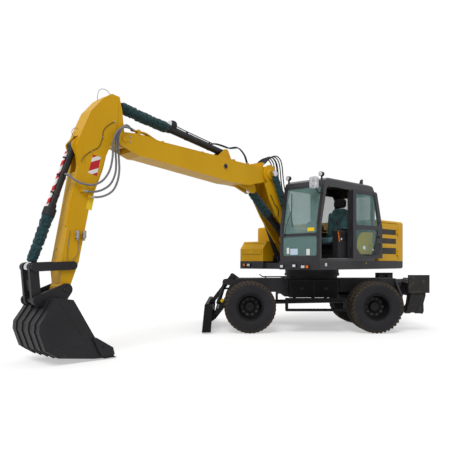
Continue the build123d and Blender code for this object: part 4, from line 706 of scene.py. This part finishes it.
# Warning mark and blank plate on the stick, a little off its faces
MARK_GAP, MARK_THICK = 0.0003, (0, 0.0014, 0)
MARK = at_y(CHEEK_FACE + MARK_GAP, (5.526, 3.059), (5.393, 3.038), (5.461, 2.741), (5.607, 2.775))
plates("stick_chevron", [(MARK, MARK_THICK)], CHEVRON, "stick")
BLANK = at_y(STICK_FACE + MARK_GAP, (5.590, 2.440), (5.500, 2.424), (5.545, 2.214), (5.640, 2.236))
plates("stick_blank_plate", [(BLANK, MARK_THICK)], PLATE, "stick")

# The striped pipe in front of the bucket cylinder, with its clamps
PIPE_Y, PIPE_LIFT, PIPE_CLAMPS = 0.02, 0.070, (0.24, 0.52, 0.80)
runs("striped_pipe", [[along("bucket", s, PIPE_Y, PIPE_LIFT) for s in (0.14, 0.45, 0.80, 1.03)]],
     0.020, BAND, "bucket_barrel", step=0.05)
collars("barrel_clamps", bands("bucket", PIPE_CLAMPS, 0.016, 0.0555, 0.0610), STEEL, "bucket_barrel")
rods("barrel_clamp_eyes", [
    *bands("bucket", PIPE_CLAMPS, 0.014, 0.018, 16, y=PIPE_Y, lift=0.062),
    *bands("bucket", PIPE_CLAMPS, 0.014, 0.0245, 20, y=PIPE_Y, lift=PIPE_LIFT),
], STEEL, "bucket_barrel")

# Lamps: x of the faces in front and beside the cab, then each lens's x, y, z and half width
FRONT, SIDE = 1.4786, 1.0286
LENSES = {
    "amber": (ORANGE, [(FRONT, .973, 1.348, .029), (SIDE, -1.105, 1.375, .029)]),
    "clear": (LENS, [(FRONT, .872, 1.348, .041), (FRONT, .658, 1.366, .035), (FRONT, .345, 1.354, .035),
                     (SIDE, -.974, 1.374, .043)]),
}
for name, (mat, rows) in LENSES.items():
    boxes(f"lenses_{name}", [(at(x + 0.001, y, z), (0.006, half, 0.025)) for x, y, z, half in rows],
          mat, "upper", bevel=0.005, segments=3)
rods("roof_lamp_lenses", [((1.286, y, 3.128), (1.2935, y, 3.128), 0.040, 32) for y in (.35, 1.15)],
     LENS, "upper")
MARK_Y = SIDE_Y + 0.0012
boxes("side_marks", [(at(1.250, MARK_Y, 1.39), (0.030, 0.0012, 0.030))], LENS, "upper", bevel=0.001)
boxes("yellow_mark", [(at(-.199, MARK_Y, 1.417), (0.013, 0.0012, 0.013))], PLATE, "upper", bevel=0.001)
rods("deck_plugs", [((1.124, 1.2495, 1.39), (1.124, MARK_Y, 1.39), 0.020, 24),
                    ((-1.48, 1.2495, 1.40), (-1.48, MARK_Y, 1.40), 0.020, 24)], TRIM, "upper")

# Blank stickers on the windscreen: each y and z range, and x at its low and its high edge
PANE_X = (1.4345, 1.4345)
STICKERS = {
    "white_blank_right": (WHITE, (.445, .505), (1.60, 1.72), PANE_X),
    "white_blank_left": (WHITE, (.925, 1.005), (1.57, 1.69), PANE_X),
    "blue_blank": (PALE_BLUE, (.535, .715), (1.58, 1.70), PANE_X),
    "yellow_blank": (PLATE, (.94, 1.10), (2.03, 2.10), (1.4258, 1.4145)),
}
for name, (mat, (y0, y1), (z0, z1), (x0, x1)) in STICKERS.items():
    plates(name, [([(x0, y0, z0), (x0, y1, z0), (x1, y1, z1), (x1, y0, z1)], (-0.001, 0, 0))], mat,
           "upper", edge=0.0002)

# Wiper
wiper = [(1.463, .420, 1.975), (1.470, .445, 2.10), (1.462, .50, 2.26), (1.440, .56, 2.42)]
runs("wiper_arm", [wiper], 0.006, TRIM, "upper", sides=8)
blade = [(1.459, .60, 2.14), (1.444, .575, 2.35), (1.405, .545, 2.62), (1.374, .52, 2.80)]
runs("wiper_blade", [blade], 0.007, TRIM, "upper", sides=8)
rods("wiper_pivot", [((1.448, .420, 1.968), (1.472, .420, 1.968), 0.017, 20)], TRIM, "upper")

# Service grilles: low and high edge of each, with dark mesh inside
GRILLES = ((2.035, 2.175), (1.835, 1.975), (1.605, 1.765))
GRILLE_SIDES = (("left", 1, "side_door"), ("right", -1, "upper"))
for side, sign, body in GRILLE_SIDES:
    rows = [(at(-1.120, sign * 1.2085, (low + high) / 2), (0.372, 0.0015, (high - low) / 2))
            for low, high in GRILLES]
    boxes(f"grille_mesh_{side}", rows, MESH, body, bevel=0.0005)
boxes("side_door_latch", [(at(-.735, 1.2515, 1.90), (0.012, 0.0025, 0.035))], TRIM, "side_door",
      bevel=0.002)

# Toolbox front: dark strips along its recessed panel's sides and bottom, painted shade of the recess
# with a painted shadow line at the bottom, and a blank latch
boxes("toolbox_painted_shade", [
    (at(1.0006, -.887, 1.606), (0.0012, 0.285, 0.0035)),
    *[(at(1.0006, y, 1.662), (0.0012, 0.0025, 0.055)) for y in (-1.172, -.602)],
], TRIM, "upper", bevel=0.0004)
LATCH = (-.907, 1.665)
boxes("toolbox_latch", [(at(1.004, *LATCH), (0.005, 0.055, 0.018))], PLATE, "upper", bevel=0.004)
rods("toolbox_keyhole", [((1.008, *LATCH), (1.0125, *LATCH), 0.009, 20)], TRIM, "upper")

# Seat: stuffed forms on a dark base, with a black headrest
SEAT_Y = 0.765
lean = Matrix.Rotation(radians(-6), 4, "Y")
pad_rows = [(at(0.385, SEAT_Y, 1.875), (0.270, 0.200, 0.068))]
back_rows = [(at(0.075, SEAT_Y, 2.22) @ lean, (0.068, 0.185, 0.350))]
for sign in (-1, 1):
    pad_rows.append((at(0.385, SEAT_Y + sign * 0.205, 1.890), (0.262, 0.050, 0.066)))
    back_rows.append((at(0.085, SEAT_Y + sign * 0.195, 2.19) @ lean, (0.070, 0.052, 0.300)))
pad = cushion("seat_cushion", pad_rows, SEAT, "upper", crumple=0.018)
back = cushion("seat_back", back_rows, SEAT, "upper", crumple=0.018)
head = cushion("seat_headrest", [(at(0.035, SEAT_Y, 2.680) @ lean, (0.062, 0.135, 0.095))], TRIM,
               "upper", power=4.0)
base = boxes("seat_base", [
    (at(0.34, SEAT_Y, 1.555), (0.19, 0.19, 0.055)),
    (at(0.34, SEAT_Y, 1.700), (0.17, 0.17, 0.085)),
    (at(0.38, SEAT_Y, 1.800), (0.25, 0.21, 0.020)),
    (at(0.055, SEAT_Y, 2.20) @ lean, (0.020, 0.19, 0.33)),
], TRIM, "upper", bevel=0.012)
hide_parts("seat")
rods("headrest_posts", [((0.045, y, 2.50), (0.033, y, 2.62), 0.007, 12)
                        for y in (SEAT_Y - 0.06, SEAT_Y + 0.06)], CHROME, "upper")
boxes("seat_arms", [
    (at(0.30, SEAT_Y - 0.285, 2.105), (0.16, 0.028, 0.020)),
    (at(0.30, SEAT_Y + 0.262, 2.105), (0.16, 0.020, 0.020)),
], TRIM, "upper", bevel=0.012, segments=3)

# Levers, pedals and the floor of the cab
LEVER_Y, PEDAL_Y = (0.425, 1.105), (0.66, 0.87)
stems = []
for y in LEVER_Y:
    stems.append(((0.620, y, 2.061), (0.626, y, 2.10), 0.030, 24))
    stems.append(((0.624, y, 2.095), (0.640, y, 2.18), 0.008, 12))
rods("lever_stems", stems, TRIM, "upper")
cushion("lever_grips", [(at(0.645, y, 2.225, 8, "Y"), (0.021, 0.019, 0.058)) for y in LEVER_Y],
        TRIM, "upper", power=3.0, cuts=6)
boxes("safety_lever", [(at(0.700, 1.172, 1.945, 12.6, "Y"), (0.013, 0.0055, 0.105))], ORANGE, "upper",
      bevel=0.005)
boxes("console_tops", [
    (at(0.44, 0.4225, 2.067), (0.27, 0.060, 0.006)),
    (at(0.44, 1.1025, 2.067), (0.27, 0.055, 0.006)),
], GREY, "upper", bevel=0.005)
boxes("console_panel", [(at(0.50, 1.167, 1.94), (0.115, 0.0015, 0.075))], MESH, "upper", bevel=0.001)
boxes("console_blank", [(at(0.60, 1.1690, 1.90), (0.020, 0.0012, 0.020))], WHITE, "upper",
      bevel=0.0006)
RIBS, RIB_FROM, RIB_PITCH = 26, 0.33, 0.04
boxes("floor_mat", [
    (at(0.84, SEAT_Y, 1.5045), (0.53, 0.42, 0.0035)),
    *[(at(RIB_FROM + n * RIB_PITCH, SEAT_Y, 1.509), (0.010, 0.40, 0.0025)) for n in range(RIBS)],
], TRIM, "upper", bevel=0.001)
boxes("door_sill", [(at(0.80, 1.225, 1.5115), (0.34, 0.0185, 0.0012))], WHITE, "upper", bevel=0.0008)
boxes("pedals", [(at(1.235, y, 1.600, -55, "Y"), (0.070, 0.038, 0.006)) for y in PEDAL_Y], TRIM,
      "upper", bevel=0.004)
rods("pedal_stems", [((1.215, y, 1.510), (1.240, y, 1.592), 0.009, 12) for y in PEDAL_Y], STEEL,
     "upper")
boxes("display", [(at(1.275, 0.375, 2.12), (0.012, 0.030, 0.090)),
                  (at(1.265, 0.375, 2.12), (0.003, 0.025, 0.075))], TRIM, "upper", bevel=0.004)

# White mirror shell with its glass: its middle, half its width and height, and its corners' radius
MIRROR, MIRROR_HALF, MIRROR_R = (1.488, 1.1625, 2.935), (0.0895, 0.112), 0.031
outline = []
for quarter, (sy, sz) in enumerate(((1, 1), (-1, 1), (-1, -1), (1, -1))):
    y = MIRROR[1] + sy * (MIRROR_HALF[0] - MIRROR_R)
    z = MIRROR[2] + sz * (MIRROR_HALF[1] - MIRROR_R)
    for k in range(7):
        a = pi / 2 * (quarter + k / 6)
        outline.append((MIRROR[0], y + MIRROR_R * cos(a), z + MIRROR_R * sin(a)))
plates("mirror_shell", [(outline, (0.054, 0, 0))], MIRROR_LOOK, "upper", edge=0.004)
boxes("mirror_glass", [(at(MIRROR[0] - 0.001, *MIRROR[1:]), (0.0012, 0.072, 0.092))], CHROME, "upper",
      bevel=0.001)

# Trim of the open door: grab handle and knobs
DOOR_TURN = Matrix.Translation((0.420, 1.256, 0)) @ Matrix.Rotation(radians(-8), 4, "Z")
INNER = 0.0575


def on_door(x, z, y=INNER):
    """A point of the open door: x back from its hinge, y out from the closed cab side."""
    return DOOR_TURN @ Vector((-x, y, z))


runs("door_handle", [[on_door(.42, 1.585), on_door(.42, 1.585, .085), on_door(.60, 1.590, .092),
                      on_door(.76, 1.610, .092), on_door(.815, 1.700, .092), on_door(.840, 1.800, .090),
                      on_door(.845, 1.820, INNER)]],
     0.010, TRIM, "cab_door", sides=12, step=0.01)
rods("door_knob", [(on_door(.845, 1.96), on_door(.845, 1.96, .080), 0.022, 20),
                   (on_door(.845, 2.26), on_door(.845, 2.26, .072), 0.018, 20)], TRIM, "cab_door")


# Wheel nuts and hub bolts
def bolt_circle(x, y, radius, count, first=0.0):
    """Places of nuts on one circle of a wheel, each as (point, axis)."""
    rows = []
    for k in range(count):
        a = 2 * pi * (k + first) / count
        rows.append((under(x + radius * cos(a), y, TYRE_R + radius * sin(a)),
                     under(0, copysign(1, y), 0)))
    return rows


# Distance of the face out from the middle, radius of the circle
RIM_FACE, NUT_CIRCLE = 0.9713, 0.1675
HUB_FACE, HUB_CIRCLE = 1.0512, 0.052
for end, x in AXLES.items():
    for side, sign in SIDES:
        body = f"wheel_{end}_{side}"
        nuts(f"wheel_nuts_{end}_{side}", bolt_circle(x, sign * RIM_FACE, NUT_CIRCLE, 10), 0.0230,
             0.0265, IRON, body)
        nuts(f"hub_bolts_{end}_{side}", bolt_circle(x, sign * HUB_FACE, HUB_CIRCLE, 12, 0.5), 0.0065,
             0.006, STEEL, body)

# Bolts of the slewing ring
SLEW_BOLTS, SLEW_CIRCLE = 36, 0.585
turns = [2 * pi * k / SLEW_BOLTS for k in range(SLEW_BOLTS)]
nuts("slew_bolts", [((SLEW_CIRCLE * cos(a), SLEW_CIRCLE * sin(a), 1.1905), (0, 0, 1))
                    for a in turns], 0.013, 0.012, STEEL, "undercarriage")

# Treads on the steps
STEP_Z, TREADS, TREAD_FROM, TREAD_PITCH = (0.470, 0.690), 28, -0.49, 0.0425
boxes("step_treads", [
    (under_at(TREAD_FROM + k * TREAD_PITCH, sign * 1.1275, z + 0.0190), (0.006, 0.105, 0.0015))
    for sign in (1, -1) for z in STEP_Z for k in range(TREADS)
], STEEL, "undercarriage", bevel=0.0008, segments=1)

# Locker doors beside the frame: seams and latches
LOCKERS, LOCKER_Z, LOCKER_MIDDLE = ((-0.385, 0.095), (0.115, 0.585)), (0.735, 1.055), 0.895
rows = []
for sign in (1, -1):
    y = sign * 0.9606
    for x0, x1 in LOCKERS:
        middle = (x0 + x1) / 2
        rows += [(under_at(x, y, LOCKER_MIDDLE), (0.004, 0.0012, 0.160)) for x in (x0, x1)]
        rows += [(under_at(middle, y, z), ((x1 - x0) / 2, 0.0012, 0.004)) for z in LOCKER_Z]
        rows.append((under_at(middle, sign * 0.963, LOCKER_MIDDLE), (0.035, 0.004, 0.022)))
boxes("locker_seams", rows, TRIM, "undercarriage", bevel=0.0006, segments=1)

# Port on the boom's side, with its cap and bolts
PORT_X, PORT_Z, PORT_CIRCLE = 2.755, 3.228, 0.038
rods("boom_port", [
    ((PORT_X, BOOM_Y + near, PORT_Z), (PORT_X, BOOM_Y + far, PORT_Z), radius, sides)
    for near, far, radius, sides in ((0.2015, 0.2060, 0.047, 32), (0.2050, 0.2200, 0.030, 24))
], STEEL, "upper_boom")
rows = []
for a in (0.3, 1.35, 2.4, 3.45, 4.5, 5.55):
    x, z = PORT_X + PORT_CIRCLE * cos(a), PORT_Z + PORT_CIRCLE * sin(a)
    rows.append(((x, BOOM_Y + 0.2062, z), (0, 1, 0)))
nuts("port_bolts", rows, 0.005, 0.004, ZINC, "upper_boom")

# Glands, pipes, lamp and hoses of the cylinders
BARREL_R = {"arm": 0.062, "bucket": 0.056, "adjust": 0.072}
for kind, radius in BARREL_R.items():
    gland = RAMS[kind][2]
    collars(f"{kind}_gland", [
        *bands(kind, [gland - 0.050], 0.038, radius + 0.0095, radius + 0.0160),
        *bands(kind, [gland - 0.104], 0.014, radius - 0.0005, radius + 0.0120),
    ], STEEL, f"{kind}_barrel")
runs("arm_barrel_pipes", [
    [along("arm", 1.34, sign * 0.02, 0.070), along("arm", 1.22, sign * 0.03, top),
     along("arm", 1.02, sign * 0.03, middle), along("arm", 0.30, sign * 0.03, 0.080)]
    for sign, top, middle in ((1, 0.092, 0.082), (-1, 0.088, 0.080))
], 0.009, STEEL, "arm_barrel", step=0.03)
ARM_CLAMPS = (0.36, 0.92)
collars("arm_barrel_clamps", bands("arm", ARM_CLAMPS, 0.012, 0.0615, 0.0670), STEEL, "arm_barrel")
rods("arm_clamp_eyes", bands("arm", ARM_CLAMPS, 0.012, 0.017, 16, lift=0.080), STEEL, "arm_barrel")
cushion("boom_lamp", [(at(3.868, BOOM_Y, 3.822), (0.078, 0.082, 0.082))], TRIM, "arm_barrel",
        power=2.5, cuts=12)
rods("boom_lamp_lens", [((3.925, BOOM_Y, 3.826), (3.950, BOOM_Y, 3.830), 0.066, 36)], LENS,
     "arm_barrel")
ARM_HOSES = [
    [along("arm", 0.30, 0.03, 0.080), (2.816, -0.11, 3.655), (2.645, -0.10, 3.640),
     (2.500, -0.095, 3.618), (2.410, -0.09, 3.630), (2.290, -0.09, 3.655), (2.190, -0.09, 3.630),
     (2.080, -0.09, 3.540), (2.010, -0.09, 3.415)],
    [along("arm", 0.30, -0.03, 0.080), (2.806, -0.17, 3.662), (2.640, -0.175, 3.655),
     (2.480, -0.175, 3.640), (2.370, -0.175, 3.662), (2.240, -0.175, 3.690), (2.130, -0.175, 3.660),
     (2.010, -0.175, 3.560), (1.940, -0.175, 3.412)],
]
pair = closed("arm_hoses", tubes(ARM_HOSES, 0.0115, sides=12, step=0.012), HOSE)
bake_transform(pair)
HOSE_FOOT_Z = 3.398
rods("arm_hose_feet", [((x, y, HOSE_FOOT_Z), (x, y, z), 0.017, 6) for *_, (x, y, z) in ARM_HOSES], ZINC,
     "upper_boom")
runs("base_boom_line", [at_y(.0985, (1.530, 2.800), (1.489, 2.749), (1.398, 2.622), (1.280, 2.512),
                             (1.293, 2.358))], 0.008, HOSE, "base_boom", step=0.02)
nuts("boom_bolts", [((4.875, 0.0452, 3.426), (0, 1, 0)), ((4.882, 0.0452, 3.343), (0, 1, 0)),
                    ((2.105, -0.0498, 2.882), (0, 1, 0))], 0.012, 0.010, ZINC, "upper_boom")

# Thin grease loops on the stick
runs("stick_loops", [
    at_y(-.17, (5.741, 3.312), (5.775, 3.381), (5.754, 3.434), (5.713, 3.460), (5.665, 3.449),
         (5.648, 3.400)),
    at_y(-.16, (5.345, 3.935), (5.340, 4.020), (5.315, 4.110), (5.240, 4.150), (5.150, 4.125),
         (5.090, 4.030)),
    [(5.950, -.19, 1.655), (6.032, -.20, 1.617), (6.056, -.20, 1.556), (6.030, -.20, 1.500),
     (5.975, -.19, 1.470)],
], 0.0045, SPIRAL, "stick", sides=8, step=0.015)
runs("stick_side_lines", [
    at_y(.010, (5.774, 1.790), (5.771, 1.605), (5.800, 1.530), (5.860, 1.475)),
    at_y(.010, (5.900, 1.900), (5.925, 1.736), (5.940, 1.615), (5.945, 1.446)),
], 0.0040, SPIRAL, "stick", sides=8, step=0.02)

# Yellow panel behind the open door, with one rounded corner
PANEL_X, PANEL_Z, PANEL_R = (-0.466, 0.150), (1.530, 2.062), 0.270
corner = [(PANEL_X[1] - PANEL_R * (1 - cos(a)), PANEL_Z[1] - PANEL_R * (1 - sin(a)))
          for a in (pi / 2 * k / 10 for k in range(11))]
outline = [(PANEL_X[1], PANEL_Z[0]), *corner, (PANEL_X[0], PANEL_Z[1]), (PANEL_X[0], PANEL_Z[0])]
plates("rear_side_panel", [(at_y(1.2453, *outline), (0, 0.003, 0))], PANEL, "upper", edge=0.001)
# Covers of the service grilles, with a slanting front edge, and blanks on the open door
COVER_BACK, COVER_FRONT, COVER_INSET = -1.478, -0.792, 0.011
for side, sign, body in GRILLE_SIDES:
    rows = []
    for opening in GRILLES:
        low, high = opening[0] + COVER_INSET, opening[1] - COVER_INSET
        top = COVER_FRONT - (high - low) * 0.6
        corners = at_y(sign * (SIDE_Y + MARK_GAP), (COVER_BACK, low), (COVER_FRONT, low), (top, high),
                       (COVER_BACK, high))
        rows.append((corners, (0, sign * 0.0012, 0)))
    plates(f"grille_cover_{side}", rows, GRILLE, body, edge=0.0004)
rods("door_blanks", [(on_door(x, z, .0372), on_door(x, z, .0382), radius, sides)
                     for x, z, radius, sides in ((0.390, 1.735, 0.040, 32), (0.676, 1.694, 0.018, 24))],
     PALE_BLUE, "cab_door")

# Weld seams and cutter bolts on the bucket's sides
SEAMS = (((6.396, 0.234), (5.800, 0.231)), ((6.221, 0.900), (5.760, 0.250)))
CUTTERS = ((5.640, 0.270), (5.520, 0.200))
seams = []
bolts = []
for sign in (1, -1):
    seams += [(*at_y(BOOM_Y + sign * 0.4195, *ends), 0.0055, 8) for ends in SEAMS]
    bolts += [((x, BOOM_Y + sign * 0.4502, z), (0, sign, 0)) for x, z in CUTTERS]
rods("bucket_seams", seams, WORN, "bucket")
nuts("cutter_bolts", bolts, 0.017, 0.014, STEEL, "bucket")

# Yellow block on the left blade arm, and a low tread plate on the front of the chassis
ALONG_ARM, OFF_ARM = Vector((0.614, -0.789)), Vector((0.789, 0.614))
corners = []
for t, n in ((0.265, 0.053), (0.355, 0.053), (0.345, 0.115), (0.275, 0.115)):
    x, z = Vector((1.740, 0.800)) + ALONG_ARM * t + OFF_ARM * n
    corners.append(under(x, 0.352, z))
plates("blade_arm_block", [(corners, under(0, 0.040, 0))], PLATE, "blade_arms", edge=0.003)
TREAD_IN, TREAD_WIDTH = 0.205, 0.130
rows = []
for profile in (
    ((0.560, 1.114), (1.125, 1.114), (1.190, 1.164), (1.178, 1.180), (1.118, 1.134), (0.560, 1.134)),
    ((0.640, 1.0855), (0.665, 1.0855), (0.665, 1.1135), (0.640, 1.1135)),
    ((1.010, 1.0855), (1.035, 1.0855), (1.070, 1.1135), (1.045, 1.1135)),
):
    rows.append(([under(x, TREAD_IN, z) for x, z in profile], under(0, TREAD_WIDTH, 0)))
plates("front_tread", rows, SHADED_MATT_STEEL, "undercarriage")

# Tail lamps and lifting eyes of the counterweight
TAIL_R = 2.19
rows = []
for y in (-0.86, 0.86):
    turn = degrees(asin(y / TAIL_R))
    rows.append((at(-sqrt(TAIL_R ** 2 - y ** 2), y, 1.385, -turn), (0.006, 0.085, 0.026)))
boxes("tail_lamps", rows, TAIL_RED, "upper")
collars("lifting_eyes", [((-1.80, y - 0.011, 2.396), (-1.80, y + 0.011, 2.396), 0.020, 0.038)
                         for y in (-0.62, 0.62)], YELLOW, "upper", sides=28)

# Caps on the pins of the bucket's linkage, couplings on the stick and the cuff of the bucket sleeve
IDLER_PIN, BUCKET_PIN = (5.862, 1.389), (5.975, 1.042)
rows = []
for (x, z), out, r in ((IDLER_PIN, 0.1983, 0.038), (BUCKET_PIN, 0.2083, 0.046)):
    for side in (1, -1):
        y = BOOM_Y + side * out
        rows.append(((x, y, z), (x, y + side * 0.004, z), r, 32))
rods("pin_caps", rows, STEEL, "stick")
rows = []
for x, y in ((5.802, 0.045), (5.695, 0.045)):
    rows.append(((x, y, 1.900), (x, y, 1.785), 0.027, 20))
    rows.append(((x, y, 1.865), (x, y, 1.830), 0.032, 6))
    rows.append(((x, y, 1.785), (x, y, 1.755), 0.016, 16))
rods("stick_couplings", rows, ZINC, "stick")
CUFF_AT = RAMS["bucket"][2] + 0.015
collars("bucket_cuff", bands("bucket", [CUFF_AT], 0.060, 0.084, 0.093), TRIM, "bucket_barrel")

# Camera: its place, focal length in millimetres and upward shift
CAMERA_AT, CAMERA_LENS, CAMERA_SHIFT = (9.834, 7.208, 1.44), 42.54, 0.0733
camera_data = bpy.data.cameras.new("camera")
camera = placed("camera", camera_data)
bpy.context.scene.camera = camera
camera_data.sensor_width = 36.0
camera_data.lens = CAMERA_LENS
camera_data.shift_y = CAMERA_SHIFT
camera.location = CAMERA_AT
camera.rotation_euler = (radians(90), 0.0, radians(135))


# Lights and floor
def seen_directly(tree):
    """One for rays from the camera and for what metal and glass show, else zero."""
    rays = added(tree, "ShaderNodeLightPath", {}).outputs
    direct = maths(tree, "MAXIMUM", rays["Is Camera Ray"], rays["Is Glossy Ray"])
    return maths(tree, "MAXIMUM", direct, rays["Is Transmission Ray"])


def between(tree, factor, low, high):
    """A value that goes from low to high with the factor."""
    node = added(tree, "ShaderNodeMapRange", {"Value": factor, "To Min": low, "To Max": high})
    return node.outputs["Result"]


# Strength of the sky and of the sun, the sun's width in degrees, and the floor's own light
SKY, SUN, SUN_WIDTH, FLOOR_LIFT = 0.60, 1.8, 28, 0.47
world = bpy.data.worlds.new("studio")
bpy.context.scene.world = world
world.use_nodes = True
tree = world.node_tree
feed(tree, tree.nodes["Background"], {
    "Color": (1.0, 1.0, 1.0, 1.0),
    "Strength": between(tree, seen_directly(tree), SKY, 1.0),
})
bpy.context.scene.view_settings.view_transform = "Standard"

sun_data = bpy.data.lights.new("sun", "SUN")
sun_data.energy = SUN
sun_data.angle = radians(SUN_WIDTH)
sun = placed("sun", sun_data)
sun.rotation_euler = Vector((-0.75, -0.42, -0.90)).to_track_quat("-Z", "Y").to_euler()

floor_look = surface("floor_look", (0.60, 0.60, 0.60, 1), (0.59, 0.59, 0.59, 1), 0.9, bump=0.0,
                     rough_spread=0.05, shine=0.0)
tree = floor_look.node_tree
feed(tree, tree.nodes["Principled BSDF"], {
    "Emission Color": (1.0, 1.0, 1.0, 1.0),
    "Emission Strength": between(tree, seen_directly(tree), 0.0, FLOOR_LIFT),
})
bm = bmesh.new()
bmesh.ops.create_grid(bm, x_segments=8, y_segments=8, size=60.0)
floor = closed("floor", bm, floor_look)
floor.location = (0, 0, -0.001)
floor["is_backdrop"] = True

low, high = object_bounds()
